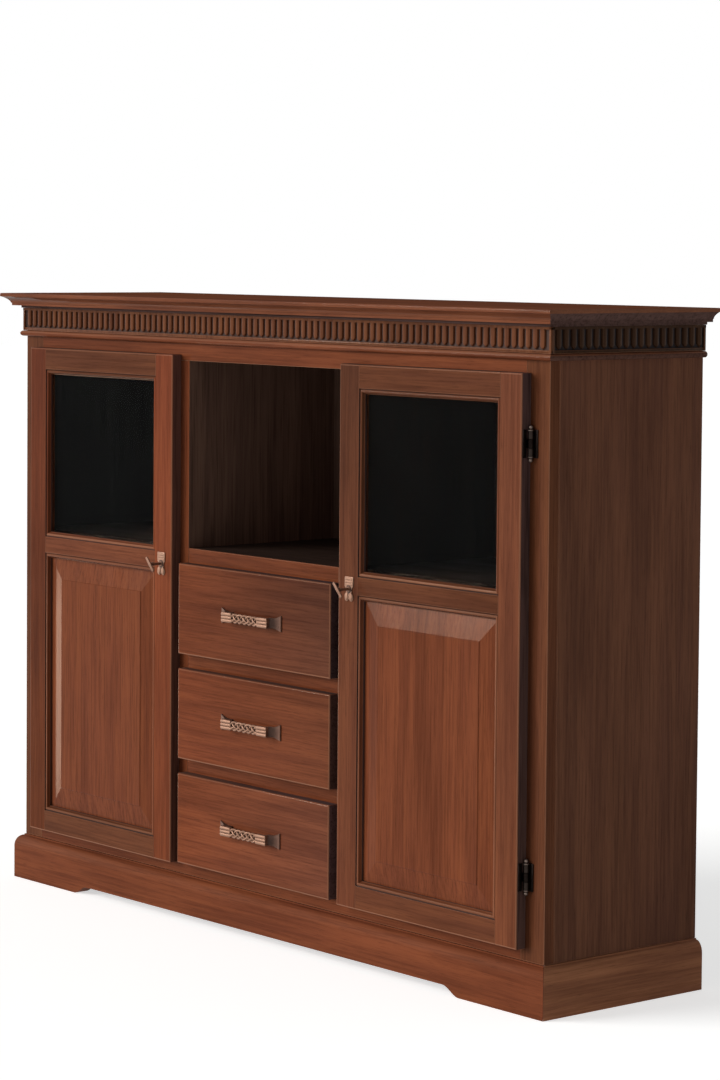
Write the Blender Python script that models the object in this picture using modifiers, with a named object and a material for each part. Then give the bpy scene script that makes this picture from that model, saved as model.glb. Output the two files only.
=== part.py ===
# Display sideboard: two framed doors, an open niche over three drawers, fluted cornice, bracket plinth.
# Metres, +Z up, the front faces -Y, +X is the right-hand side seen from the front.
import math

import bmesh
import bpy
from mathutils import Matrix, Vector

for old in list(bpy.data.objects):
    bpy.data.objects.remove(old, do_unlink=True)

# Overall sizes
TOTAL_H = 1.050
CARCASE_W = 1.360
CARCASE_D = 0.320
FIT = 0.0003

# Top board and its moulded edge
TOP_T = 0.026
TOP_OVER = 0.035
TOP_FASCIA_H = 0.008
TOP_COVE_H = 0.013
TOP_COVE_IN = 0.016

# Fluted frieze and the bead under it
FRIEZE_H = 0.040
FRIEZE_T = 0.005
FLUTE_PITCH = 0.0155
FLUTE_LAND = 0.0045
FLUTE_DEPTH = 0.0025
BEAD_H = 0.010
BEAD_OUT = 0.009

# Boards of the carcase
SIDE_T = 0.018
BACK_T = 0.006
FRAME_T = 0.020
CORNER_STILE_W = 0.050
MID_STILE_W = 0.034
DIVIDER_T = 0.018
BASE_T = 0.029
SHELF_T = 0.018
SHELF_EDGE_H = 0.0245
DUST_T = 0.012
NICHE_W = 0.396
HEAD_REVEAL = 0.0187

# Plinth
PLINTH_H = 0.078
PLINTH_OUT = 0.015
PLINTH_T = 0.024
PLINTH_FACE_H = 0.056
PLINTH_STEP = 0.002
ARCH_H = 0.0145
ARCH_FOOT_L = 0.187
ARCH_CURVE_L = 0.038

# Doors
DOOR_GAP = 0.0005
DOOR_T = 0.019
DOOR_OVERLAY = 0.010
DOOR_LOCK_LAP = 0.012
STILE_W = 0.056
RAIL_W = 0.046
STICK_W = 0.009
STICK_DEPTH = 0.006
STICK_MID_W = 0.0056
STICK_MID_DEPTH = 0.0018
LIP_T = 0.003
REBATE_W = 0.008
GLASS_T = 0.004
EDGE_PLAY = 0.0015
PANEL_EDGE_T = 0.006
PANEL_RAISE = 0.006
PANEL_BEVEL = 0.036
PANEL_STEP = 0.0015

# Hinges
KNUCKLE_R = 0.0045
KNUCKLE_PLAY = 0.001
PIN_R = 0.0018
PIN_PLAY = 0.0003
HINGE_H = 0.042
MID_KNUCKLE_H = 0.014
FINIAL_H = 0.0065
LEAF_T = 0.0015
LEAF_W = 0.0205
HINGE_FROM_TOP = 0.1045
HINGE_FROM_BOTTOM = 0.1085

# Locks and keys
LOCK_UP = 0.017
LOCK_IN = 0.0275
CASE_W = 0.033
CASE_H = 0.060
CASE_T = 0.014
CASE_CLEAR = 0.0025
BARREL_R = 0.005
PLATE_W = 0.021
PLATE_H = 0.039
PLATE_T = 0.0015
BOLT_T = 0.0054
BOLT_H = 0.0114
BOLT_L = 0.030
BOLT_THROW = 0.009
BOLT_PLAY = 0.0004
BOLT_BEHIND_DOOR = 0.009
KEY_R = 0.0024
KEY_PLAY = 0.0003
KEY_TILT = math.radians(42)
GRIP_L = 0.030
GRIP_D = 0.0046
GRIP_T = 0.0040
GRIP_END = 0.0014
GRIP_FROM_FACE = 0.024

# Drawers and handles
DRAWER_H = 0.152
DRAWER_SPACE = 0.0247
DRAWER_BASE_LAP = 0.0063
DRAWER_OVERLAY = 0.0025
DRAWER_RAIL_LAP = 0.003
DRAWER_EDGE = 0.002
BOX_PLAY = 0.0015
BOX_HEADROOM = 0.026
BOX_SIDE_T = 0.012
BOX_FLOOR_T = 0.008
BOX_BACK_CLEAR = 0.0237
HANDLE_L = 0.120
HANDLE_H = 0.0165
HANDLE_T = 0.006
HANDLE_REACH = 0.018
FOOT_SPLAY = 0.018
FOOT_BASE_H = 0.026
FOOT_BASE_T = 0.0022
FOOT_NECK_H = 0.0148
FOOT_NECK_L = 0.0125
FOOT_FLARE = 0.0098
FOOT_WAIST = 0.0046
FOOT_WAIST_H = 0.0172
FOOT_WAIST_SPLAY = 0.0065

# Derived positions; depth is measured from the front face of the face frame into the cabinet
DOOR_BACK = -DOOR_GAP
DOOR_FACE = DOOR_BACK - DOOR_T
KEY_REACH = GRIP_FROM_FACE + GRIP_D / 2
FRONT_REACH = max(-DOOR_FACE + max(HANDLE_REACH, KEY_REACH), TOP_OVER, PLINTH_OUT)
FRONT_Y = (FRONT_REACH - CARCASE_D) / 2
HALF_W = CARCASE_W / 2
SIDE_IN = HALF_W - SIDE_T
INNER_BACK = CARCASE_D - BACK_T - FIT
TOP_Z = TOTAL_H - TOP_T
FRIEZE_Z = TOP_Z - FRIEZE_H
BEAD_Z = FRIEZE_Z - FIT - BEAD_H
FLOOR_Z = PLINTH_H + FIT + BASE_T
NICHE_X = NICHE_W / 2
MID_STILE_X = NICHE_X + MID_STILE_W
DRAWER_LOW = [FLOOR_Z - DRAWER_BASE_LAP + k * (DRAWER_H + DRAWER_SPACE) for k in range(3)]
DRAWER_TOP = [low + DRAWER_H for low in DRAWER_LOW]
NICHE_FLOOR_Z = DRAWER_TOP[-1] + SHELF_EDGE_H
DOOR_IN_X = MID_STILE_X - DOOR_LOCK_LAP
DOOR_OUT_X = HALF_W - CORNER_STILE_W + DOOR_OVERLAY
DOOR_Z0 = FLOOR_Z - DOOR_OVERLAY
DOOR_Z1 = BEAD_Z - HEAD_REVEAL
RAIL_Z = DOOR_Z1 - DOOR_OVERLAY
MID_RAIL_Z1 = NICHE_FLOOR_Z
MID_RAIL_Z0 = MID_RAIL_Z1 - RAIL_W
PIVOT_X = DOOR_OUT_X + KNUCKLE_R + KNUCKLE_PLAY
PIVOT_D = -KNUCKLE_R - KNUCKLE_PLAY
HINGE_UP_Z = DOOR_Z1 - HINGE_FROM_TOP
HINGE_LOW_Z = DOOR_Z0 + HINGE_FROM_BOTTOM
LOCK_X = DOOR_IN_X + LOCK_IN
LOCK_Z = MID_RAIL_Z0 + LOCK_UP
CASE_X0 = MID_STILE_X + CASE_CLEAR
BOLT_D = DOOR_BACK + BOLT_BEHIND_DOOR


def y(depth):
    return FRONT_Y + depth


# Collections and materials
scene = bpy.context.scene
parts = bpy.data.collections.new("display_sideboard")
scene.collection.children.link(parts)
cutters = bpy.data.collections.new("cutters")
scene.collection.children.link(cutters)


def material(name, rgb, roughness, metallic=0.0, transmission=0.0):
    mat = bpy.data.materials.new(name)
    mat.use_nodes = True
    shader = mat.node_tree.nodes["Principled BSDF"]
    shader.inputs["Base Color"].default_value = (*rgb, 1.0)
    shader.inputs["Roughness"].default_value = roughness
    shader.inputs["Metallic"].default_value = metallic
    shader.inputs["Transmission Weight"].default_value = transmission
    return mat


MAHOGANY = material("mahogany", (0.181, 0.051, 0.026), 0.38)
MAHOGANY_INSIDE = material("mahogany_inside", (0.055, 0.020, 0.012), 0.55)
GLASS = material("clear_glass", (0.80, 0.84, 0.82), 0.05, 0.0, 1.0)
BRONZE = material("dark_bronze", (0.045, 0.032, 0.024), 0.45, 0.9)
COPPER = material("antique_copper", (0.480, 0.270, 0.170), 0.35, 0.95)
STEEL = material("plain_steel", (0.350, 0.340, 0.320), 0.40, 0.95)


# Shape helpers
def add(name, bm, mat, home=parts):
    bmesh.ops.recalc_face_normals(bm, faces=bm.faces)
    mesh = bpy.data.meshes.new(name)
    bm.to_mesh(mesh)
    bm.free()
    obj = bpy.data.objects.new(name, mesh)
    home.objects.link(obj)
    if home is cutters:
        obj.hide_render = True
        obj.display_type = "WIRE"
    else:
        mesh.materials.append(mat)
    return obj


def box(name, xs, ds, zs, mat=None, home=parts):
    size = Vector((xs[1] - xs[0], ds[1] - ds[0], zs[1] - zs[0]))
    bm = bmesh.new()
    bmesh.ops.create_cube(bm, size=1.0, matrix=Matrix.Diagonal((*size, 1.0)))
    obj = add(name, bm, mat, home)
    obj.location = ((xs[0] + xs[1]) / 2, y((ds[0] + ds[1]) / 2), (zs[0] + zs[1]) / 2)
    return obj


def prism(name, outline, axis, lo, hi, mat=None, home=parts):
    # An outline drawn across the axis: (x, depth) for Z, (depth, z) for X, (x, z) for depth
    place = {
        "z": lambda u, v, t: (u, y(v), t),
        "x": lambda u, v, t: (t, y(u), v),
        "d": lambda u, v, t: (u, y(t), v),
    }[axis]
    bm = bmesh.new()
    face = bm.faces.new([bm.verts.new(place(u, v, lo)) for u, v in outline])
    grown = bmesh.ops.extrude_face_region(bm, geom=[face])
    shift = Vector(place(0, 0, hi)) - Vector(place(0, 0, lo))
    moved = [item for item in grown["geom"] if isinstance(item, bmesh.types.BMVert)]
    bmesh.ops.translate(bm, verts=moved, vec=shift)
    return add(name, bm, mat, home)


def loft(name, rings, mat=None, home=parts):
    # Rings with the same number of points, joined in order and closed at both ends
    bm = bmesh.new()
    loops = [[bm.verts.new(p) for p in ring] for ring in rings]
    count = len(loops[0])
    for low, high in zip(loops, loops[1:]):
        for i in range(count):
            j = (i + 1) % count
            bm.faces.new((low[i], low[j], high[j], high[i]))
    bm.faces.new(loops[0])
    bm.faces.new(loops[-1])
    return add(name, bm, mat, home)


def rod(name, centre, axis, ends, radius, sides, mat=None, home=parts):
    # A round bar along Z or along the depth, between two positions on its axis
    turn = Matrix() if axis == "z" else Matrix.Rotation(-math.pi / 2, 4, "X")
    bm = bmesh.new()
    bmesh.ops.create_cone(
        bm,
        cap_ends=True,
        segments=sides,
        radius1=radius,
        radius2=radius,
        depth=ends[1] - ends[0],
        matrix=turn,
    )
    obj = add(name, bm, mat, home)
    obj.data.shade_smooth()
    obj.data.set_sharp_from_angle(angle=math.radians(40))
    middle = (ends[0] + ends[1]) / 2
    if axis == "z":
        obj.location = (centre[0], y(centre[1]), centre[2] + middle)
    else:
        obj.location = (centre[0], y(centre[1] + middle), centre[2])
    return obj


def turned(name, centre, profile, sides, mat):
    # A piece turned about Z from (radius, height) pairs that run down its outer side
    bm = bmesh.new()
    line = [bm.verts.new((radius, 0.0, z)) for radius, z in profile]
    for upper, lower in zip(line, line[1:]):
        bm.edges.new((upper, lower))
    obj = add(name, bm, mat)
    screw = obj.modifiers.new("turned", "SCREW")
    screw.steps = sides
    screw.render_steps = sides
    screw.use_merge_vertices = True
    screw.merge_threshold = 0.00001
    obj.location = (centre[0], y(centre[1]), centre[2])
    return obj


def boolean(obj, other, operation):
    mod = obj.modifiers.new(other.name, "BOOLEAN")
    mod.operation = operation
    mod.object = other
    mod.solver = "EXACT"


def cut(obj, other):
    boolean(obj, other, "DIFFERENCE")


def join(obj, other):
    boolean(obj, other, "UNION")


def pivot(name, x, depth, z):
    empty = bpy.data.objects.new(name, None)
    empty.empty_display_size = 0.02
    parts.objects.link(empty)
    empty.location = (x, y(depth), z)
    return empty


def hang(obj, parent):
    obj.parent = parent
    obj.matrix_parent_inverse = Matrix.Translation(-parent.location)
    return obj


def upright(xs, zs, inset, depth):
    # Corners of an upright rectangle, drawn in by the inset on all four sides
    x0 = xs[0] + inset
    x1 = xs[1] - inset
    z0 = zs[0] + inset
    z1 = zs[1] - inset
    return [(x0, y(depth), z0), (x1, y(depth), z0), (x1, y(depth), z1), (x0, y(depth), z1)]


def around(offset, z, back=CARCASE_D):
    # Corners of the moulded outline that stands proud of front and sides by the offset
    reach = HALF_W + offset
    return [(-reach, y(-offset), z), (reach, y(-offset), z), (reach, y(back), z), (-reach, y(back), z)]


# Top board: fascia, cove and fillet run round the front and both ends
cove = []
for k in range(7):
    a = math.pi / 2 * k / 6
    cove.append((TOP_OVER - TOP_COVE_IN * math.sin(a), TOP_FASCIA_H + TOP_COVE_H * (1 - math.cos(a))))
edge = [(cove[-1][0], TOP_T)] + cove[::-1] + [(TOP_OVER, 0.0)]
loft("top_board", [around(out, TOTAL_H - down) for out, down in edge], MAHOGANY)


# Fluted frieze: a strip with upright hollows on the front and on each side
def fluted(length, base, face):
    # The fluted outline as (along, out) pairs from one end of the strip to the other
    count = max(1, int((length - FLUTE_LAND) / FLUTE_PITCH))
    start = (length - count * FLUTE_PITCH) / 2
    half_land = FLUTE_LAND / 2
    hollow = FLUTE_PITCH - FLUTE_LAND
    line = [(0.0, base), (0.0, face)]
    for k in range(count):
        at = start + k * FLUTE_PITCH + half_land
        line.append((at, face))
        line.append((at + hollow * 0.28, face - FLUTE_DEPTH))
        line.append((at + hollow * 0.72, face - FLUTE_DEPTH))
        line.append((at + hollow, face))
    return line + [(length, face), (length, base)]


strip_out = FIT + FRIEZE_T
front_len = CARCASE_W + 2 * strip_out
front_line = [(-front_len / 2 + along, -out) for along, out in fluted(front_len, FIT, strip_out)]
prism("frieze_front", front_line, "z", FRIEZE_Z, TOP_Z - FIT, MAHOGANY)
side_line = fluted(CARCASE_D, FIT, strip_out)
for side, s in (("left", -1), ("right", 1)):
    line = [(s * (HALF_W + out), along) for along, out in side_line]
    prism("frieze_" + side, line, "z", FRIEZE_Z, TOP_Z - FIT, MAHOGANY)

# Bead: a half-round strip mitred round front and sides under the frieze
bead = [(FIT, BEAD_Z), (FIT, BEAD_Z + BEAD_H)]
for k in range(7):
    a = math.pi / 2 - math.pi * k / 6
    bead.append((BEAD_OUT * (0.35 + 0.65 * math.cos(a)), BEAD_Z + BEAD_H / 2 * (1 + math.sin(a))))
stations = [[around(out, z)[i] for out, z in bead] for i in (3, 0, 1, 2)]
loft("astragal_bead", stations, MAHOGANY)

# Carcase: sides, back, base, face frame
under_top = TOP_Z - FIT
on_plinth = PLINTH_H + FIT
for side, s in (("left", -1), ("right", 1)):
    xs = sorted((s * SIDE_IN, s * HALF_W))
    box("side_" + side, xs, (FRAME_T + FIT, CARCASE_D), (on_plinth, under_top), MAHOGANY)
    xs = sorted((s * (HALF_W - CORNER_STILE_W), s * HALF_W))
    box("corner_stile_" + side, xs, (0.0, FRAME_T), (on_plinth, under_top), MAHOGANY)
inside_x = SIDE_IN - FIT
between_stiles = HALF_W - CORNER_STILE_W - FIT
back_d = (INNER_BACK + FIT, CARCASE_D)
box("back_panel", (-inside_x, inside_x), back_d, (on_plinth, under_top), MAHOGANY_INSIDE)
base_line = [(-between_stiles, 0.0), (between_stiles, 0.0), (between_stiles, FRAME_T + FIT)]
base_line += [(inside_x, FRAME_T + FIT), (inside_x, INNER_BACK), (-inside_x, INNER_BACK)]
base_line += [(-inside_x, FRAME_T + FIT), (-between_stiles, FRAME_T + FIT)]
prism("base_board", base_line, "z", on_plinth, FLOOR_Z, MAHOGANY)
box("top_rail", (-between_stiles, between_stiles), (0.0, FRAME_T), (RAIL_Z, under_top), MAHOGANY)

# Dividers: an upright board with the middle stile of the face frame on its front edge
for side, s in (("left", -1), ("right", 1)):
    xs = sorted((s * NICHE_X, s * (NICHE_X + DIVIDER_T)))
    board = box("divider_" + side, xs, (FRAME_T + FIT, INNER_BACK), (FLOOR_Z + FIT, under_top), MAHOGANY)
    xs = sorted((s * NICHE_X, s * MID_STILE_X))
    depth = (0.0, FRAME_T + 2 * FIT)
    join(board, box("middle_stile_" + side, xs, depth, (FLOOR_Z + FIT, RAIL_Z - FIT), home=cutters))
    # Mortise in the stile that takes the lock bolt
    xs = sorted((s * (MID_STILE_X - BOLT_THROW), s * (MID_STILE_X + FIT)))
    half_t = BOLT_T / 2 + 2 * BOLT_PLAY
    half_h = BOLT_H / 2 + 2 * BOLT_PLAY
    mortise_d = (BOLT_D - half_t, BOLT_D + half_t)
    cut(board, box("bolt_mortise_" + side, xs, mortise_d, (LOCK_Z - half_h, LOCK_Z + half_h), home=cutters))

# Shelves: niche floor and the two display shelves behind the doors
niche_in = NICHE_X - FIT


def lipped(z_low, z_high, board_t):
    # Section of a board whose front edge is thickened to a rail
    board_low = z_high - board_t
    line = [(0.0, z_low), (0.0, z_high), (INNER_BACK, z_high), (INNER_BACK, board_low)]
    return line + [(FRAME_T, board_low), (FRAME_T, z_low)]


section = lipped(DRAWER_TOP[2] - DRAWER_RAIL_LAP, NICHE_FLOOR_Z, SHELF_T)
prism("niche_shelf", section, "x", -niche_in, niche_in, MAHOGANY)
for side, s in (("left", -1), ("right", 1)):
    xs = sorted((s * (NICHE_X + DIVIDER_T + FIT), s * inside_x))
    zs = (NICHE_FLOOR_Z - SHELF_T, NICHE_FLOOR_Z)
    box("display_shelf_" + side, xs, (FRAME_T + 2 * FIT, INNER_BACK), zs, MAHOGANY_INSIDE)
for level, k in (("lower", 0), ("upper", 1)):
    section = lipped(DRAWER_TOP[k] - DRAWER_RAIL_LAP, DRAWER_LOW[k + 1] + DRAWER_RAIL_LAP, DUST_T)
    prism("drawer_rail_" + level, section, "x", -niche_in, niche_in, MAHOGANY)

# Plinth: mitred moulded boards, the front one cut to bracket feet
mould = [(PLINTH_OUT, 0.0), (PLINTH_OUT, PLINTH_FACE_H)]
round_h = PLINTH_H - PLINTH_FACE_H - PLINTH_STEP
round_in = PLINTH_OUT - PLINTH_STEP
for k in range(1, 7):
    a = math.pi / 2 * k / 6
    mould.append((PLINTH_OUT - round_in * (1 - math.cos(a)), PLINTH_FACE_H + round_h * math.sin(a)))
mould += [(PLINTH_OUT - round_in, PLINTH_H), (PLINTH_OUT - PLINTH_T, PLINTH_H), (PLINTH_OUT - PLINTH_T, 0.0)]
front_board = loft("plinth_front", [[around(out, z)[i] for out, z in mould] for i in (0, 1)], MAHOGANY)
arch_x = HALF_W + PLINTH_OUT - ARCH_FOOT_L
arch = []
for k in range(9):
    t = k / 8
    rise = ARCH_H * (0.5 - 0.5 * math.cos(math.pi * t))
    arch.append((arch_x - ARCH_CURVE_L * t, rise))
arch = [(arch_x, -ARCH_H)] + arch
arch = arch + [(-x, z) for x, z in arch[::-1]]
reach = (-PLINTH_OUT - PLINTH_T, PLINTH_T)
cut(front_board, prism("plinth_arch", arch, "d", *reach, home=cutters))
for side, i in (("left", 0), ("right", 1)):
    corner = [(x, w + 2 * FIT, z) for x, w, z in [around(out, z)[i] for out, z in mould]]
    far = [around(out, z)[3 - i] for out, z in mould]
    loft("plinth_" + side, [corner, far], MAHOGANY)
plinth_in = HALF_W + PLINTH_OUT - PLINTH_T - FIT
plinth_d = (CARCASE_D - PLINTH_T, CARCASE_D)
box("plinth_back", (-plinth_in, plinth_in), plinth_d, (0.0, PLINTH_H), MAHOGANY_INSIDE)


# Door members: sections with a moulded inner edge and a rebate behind it
def stick(edge_at, inward, grow=0.0):
    # Inner-edge outline as (across, depth) from the face to the back; inward is +1 or -1
    face = DOOR_FACE
    flat = edge_at - inward * (STICK_W - grow)
    lip = edge_at + inward * grow
    wall = edge_at - inward * (REBATE_W - grow)
    lip_back = face + STICK_DEPTH + LIP_T + grow
    mid_across = flat + inward * STICK_MID_W
    mid_depth = face + STICK_MID_DEPTH
    return [
        (flat, face),
        (mid_across, mid_depth),
        (lip, face + STICK_DEPTH),
        (lip, lip_back),
        (wall, lip_back),
        (wall, DOOR_BACK),
    ]


def stile_section(outer, inward, grow=0.0):
    front = (outer, DOOR_FACE - 10 * grow)
    back = (outer, DOOR_BACK + 10 * grow)
    line = stick(outer + inward * STILE_W, inward, grow)
    if grow:
        line = [(line[0][0], front[1])] + line + [(line[-1][0], back[1])]
    return [front] + line + [back]


def rail_section(low, high, stick_low, stick_high):
    # (depth, z) outline of a rail whose lower and upper edges are plain or moulded
    upper = [(d, z) for z, d in stick(high, 1)] if stick_high else [(DOOR_FACE, high), (DOOR_BACK, high)]
    lower = [(d, z) for z, d in stick(low, -1)] if stick_low else [(DOOR_FACE, low), (DOOR_BACK, low)]
    return upper + lower[::-1]


# Glass and panel sit in the rebates, behind the lip of the moulding
seat = DOOR_FACE + STICK_DEPTH + LIP_T + FIT
tuck = REBATE_W - EDGE_PLAY
glass_z = (MID_RAIL_Z1 - tuck, DOOR_Z1 - RAIL_W + tuck)
panel_z = (DOOR_Z0 + RAIL_W - tuck, MID_RAIL_Z0 + tuck)

for side, s in (("left", -1), ("right", 1)):
    hinge_line = pivot(side + "_door_pivot", s * PIVOT_X, PIVOT_D, DOOR_Z0)
    door = side + "_door_"
    stile_z = (DOOR_Z0, DOOR_Z1)

    # Stiles, the inner one bored for the lock
    outer = s * DOOR_OUT_X
    inner = s * DOOR_IN_X
    hang(prism(door + "hinge_stile", stile_section(outer, -s), "z", *stile_z, MAHOGANY), hinge_line)
    lock_stile = prism(door + "lock_stile", stile_section(inner, s), "z", *stile_z, MAHOGANY)
    lock_at = (s * LOCK_X, 0.0, LOCK_Z)
    through = (DOOR_FACE - DOOR_T, DOOR_BACK + DOOR_T)
    lock_hole = rod("lock_hole_" + side, lock_at, "d", through, BARREL_R + FIT, 16, home=cutters)
    cut(hang(lock_stile, hinge_line), hang(lock_hole, hinge_line))

    # Rails, coped over the moulding of the stiles
    long_z = (DOOR_Z0 - RAIL_W, DOOR_Z1 + RAIL_W)
    cope_out = prism("cope_out_" + side, stile_section(outer, -s, FIT), "z", *long_z, home=cutters)
    cope_in = prism("cope_in_" + side, stile_section(inner, s, FIT), "z", *long_z, home=cutters)
    hang(cope_out, hinge_line)
    hang(cope_in, hinge_line)
    span = sorted((outer - s * (STILE_W - STICK_W - FIT), inner + s * (STILE_W - STICK_W - FIT)))
    rails = (
        ("top_rail", DOOR_Z1 - RAIL_W, DOOR_Z1, True, False),
        ("mid_rail", MID_RAIL_Z0, MID_RAIL_Z1, True, True),
        ("bottom_rail", DOOR_Z0, DOOR_Z0 + RAIL_W, False, True),
    )
    for name, low, high, stick_low, stick_high in rails:
        section = rail_section(low, high, stick_low, stick_high)
        rail = hang(prism(door + name, section, "x", *span, MAHOGANY), hinge_line)
        cut(rail, cope_out)
        cut(rail, cope_in)

    # Glass pane above, raised and fielded panel below
    pane = sorted((outer - s * (STILE_W - tuck), inner + s * (STILE_W - tuck)))
    hang(box(door + "glass", pane, (seat, seat + GLASS_T), glass_z, GLASS), hinge_line)
    field = seat - PANEL_RAISE
    rings = [
        upright(pane, panel_z, 0.0, seat + PANEL_EDGE_T),
        upright(pane, panel_z, 0.0, seat),
        upright(pane, panel_z, tuck + FIT, seat),
        upright(pane, panel_z, tuck + PANEL_BEVEL, field + PANEL_STEP),
        upright(pane, panel_z, tuck + PANEL_BEVEL, field),
    ]
    hang(loft(door + "panel", rings, MAHOGANY), hinge_line)

    # Hinges: fixed leaf with pin and ball ends on the stile, moving leaf on the door's edge
    axis = s * PIVOT_X
    half = HINGE_H / 2
    third = MID_KNUCKLE_H / 2
    ball = FINIAL_H / 2
    neck = KNUCKLE_R * 0.55
    upper_end = []
    for k in range(5):
        a = math.pi / 2 - math.pi * 0.8 * k / 4
        upper_end.append((neck * 1.4 * math.cos(a), half + ball + ball * math.sin(a)))
    upper_end += [(neck, half), (KNUCKLE_R, half), (KNUCKLE_R, third), (PIN_R, third)]
    pin = upper_end + [(r, -z) for r, z in upper_end[::-1]]
    for level, z in (("upper", HINGE_UP_Z), ("lower", HINGE_LOW_Z)):
        tag = side + "_" + level
        fixed = turned("hinge_" + tag + "_fixed_leaf", (axis, PIVOT_D, z), pin, 12, BRONZE)
        leaf_x = sorted((axis + s * (KNUCKLE_R + KNUCKLE_PLAY), axis + s * LEAF_W))
        leaf_d = (-FIT - LEAF_T, -FIT)
        leaf = box("fixed_leaf_" + tag, leaf_x, leaf_d, (z - half, z + half), home=cutters)
        join(fixed, leaf)
        for end in (-1, 1):
            tongue_x = sorted((axis, axis + s * (KNUCKLE_R + 2 * KNUCKLE_PLAY)))
            tongue_z = sorted((z + end * (third + FIT), z + end * (half - FIT)))
            grip = (leaf_d[0] - KNUCKLE_R * 0.2, leaf_d[1] - FIT)
            join(fixed, box("tongue_" + tag, tongue_x, grip, tongue_z, home=cutters))
        tube = (-third + FIT, third - FIT)
        moving = rod(door + "hinge_" + level, (axis, PIVOT_D, z), "z", tube, KNUCKLE_R, 12, BRONZE)
        hang(moving, hinge_line)
        plate_x = sorted((outer + s * FIT, outer + s * (FIT + LEAF_T)))
        plate_d = (DOOR_FACE + 2 * KNUCKLE_PLAY, PIVOT_D - KNUCKLE_R - KNUCKLE_PLAY / 2)
        plate = box("moving_leaf_" + tag, plate_x, plate_d, (z - half, z + half), home=cutters)
        tab_d = (plate_d[1] - LEAF_T, PIVOT_D)
        tab_z = (z - third + 2 * FIT, z + third - 2 * FIT)
        tab = box("moving_tab_" + tag, plate_x, tab_d, tab_z, home=cutters)
        long = (-HINGE_H, HINGE_H)
        bore = rod("pin_bore_" + tag, (axis, PIVOT_D, z), "z", long, PIN_R + PIN_PLAY, 12, home=cutters)
        for other in (plate, tab, bore):
            hang(other, hinge_line)
        join(plate, tab)
        join(moving, plate)
        cut(moving, bore)

    # Lock: front plate, barrel through the stile and case behind it
    lock_x = s * LOCK_X
    half_w = PLATE_W / 2
    half_h = PLATE_H / 2
    right_edge = [
        (half_w * 0.45, -half_h),
        (half_w, -half_h * 0.74),
        (half_w * 0.86, -half_h * 0.40),
        (half_w * 0.60, -half_h * 0.16),
        (half_w, half_h * 0.16),
        (half_w, half_h * 0.80),
        (half_w * 0.70, half_h),
    ]
    plate_line = right_edge + [(-u, v) for u, v in right_edge[::-1]]
    plate_line = [(lock_x + u, LOCK_Z + v) for u, v in plate_line]
    lock = prism(door + "lock", plate_line, "d", DOOR_FACE - FIT - PLATE_T, DOOR_FACE - FIT, COPPER)
    hang(lock, hinge_line)
    barrel_d = (DOOR_FACE - FIT - PLATE_T / 2, CASE_T / 4)
    barrel = rod("lock_barrel_" + side, lock_at, "d", barrel_d, BARREL_R, 16, home=cutters)
    case_x = sorted((s * CASE_X0, s * (CASE_X0 + CASE_W)))
    case_d = (DOOR_BACK + FIT, CASE_T)
    case = box("lock_case_" + side, case_x, case_d, (LOCK_Z - CASE_H / 2, LOCK_Z + CASE_H / 2), home=cutters)
    slot_x = sorted((s * (CASE_X0 - FIT), s * (CASE_X0 + CASE_W + FIT)))
    slot_t = BOLT_T / 2 + BOLT_PLAY
    slot_h = BOLT_H / 2 + BOLT_PLAY
    slot_d = (BOLT_D - slot_t, BOLT_D + slot_t)
    slot = box("bolt_slot_" + side, slot_x, slot_d, (LOCK_Z - slot_h, LOCK_Z + slot_h), home=cutters)
    key_end = BOLT_D - slot_t - 4 * FIT
    bore_d = (DOOR_FACE - DOOR_T, key_end)
    bore = rod("key_bore_" + side, lock_at, "d", bore_d, KEY_R + KEY_PLAY, 16, home=cutters)
    for other in (barrel, case, slot, bore):
        hang(other, hinge_line)
    join(lock, barrel)
    join(lock, case)
    cut(lock, slot)
    cut(lock, bore)

    # Bolt in the case, thrown towards the middle stile
    bolt_x = sorted((s * (CASE_X0 + FIT), s * (CASE_X0 + FIT + BOLT_L)))
    bolt_d = (BOLT_D - BOLT_T / 2, BOLT_D + BOLT_T / 2)
    bolt = box(door + "bolt", bolt_x, bolt_d, (LOCK_Z - BOLT_H / 2, LOCK_Z + BOLT_H / 2), STEEL)
    hang(bolt, hinge_line)

    # Key: round shank with a bar across its end, both bars leaning the same way
    grip_d = DOOR_FACE - GRIP_FROM_FACE
    key = rod(door + "key", lock_at, "d", (grip_d, key_end - 2 * FIT), KEY_R, 12, COPPER)
    half_d = GRIP_D / 2
    half_z = GRIP_L / 2
    outline = []
    for u, v in ((-1, -1), (1, -1), (1, 1), (-1, 1)):
        corner = [(u * half_d, v * (half_z - GRIP_END)), (u * (half_d - GRIP_END), v * half_z)]
        outline += corner if u * v > 0 else corner[::-1]
    grip = prism("key_grip_" + side, [(grip_d + u, v) for u, v in outline], "x", -GRIP_T / 2, GRIP_T / 2, home=cutters)
    grip.location = (lock_x, 0.0, LOCK_Z)
    grip.rotation_euler = (0.0, -KEY_TILT, 0.0)
    hang(grip, hinge_line)
    hang(key, hinge_line)
    join(key, grip)

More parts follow.
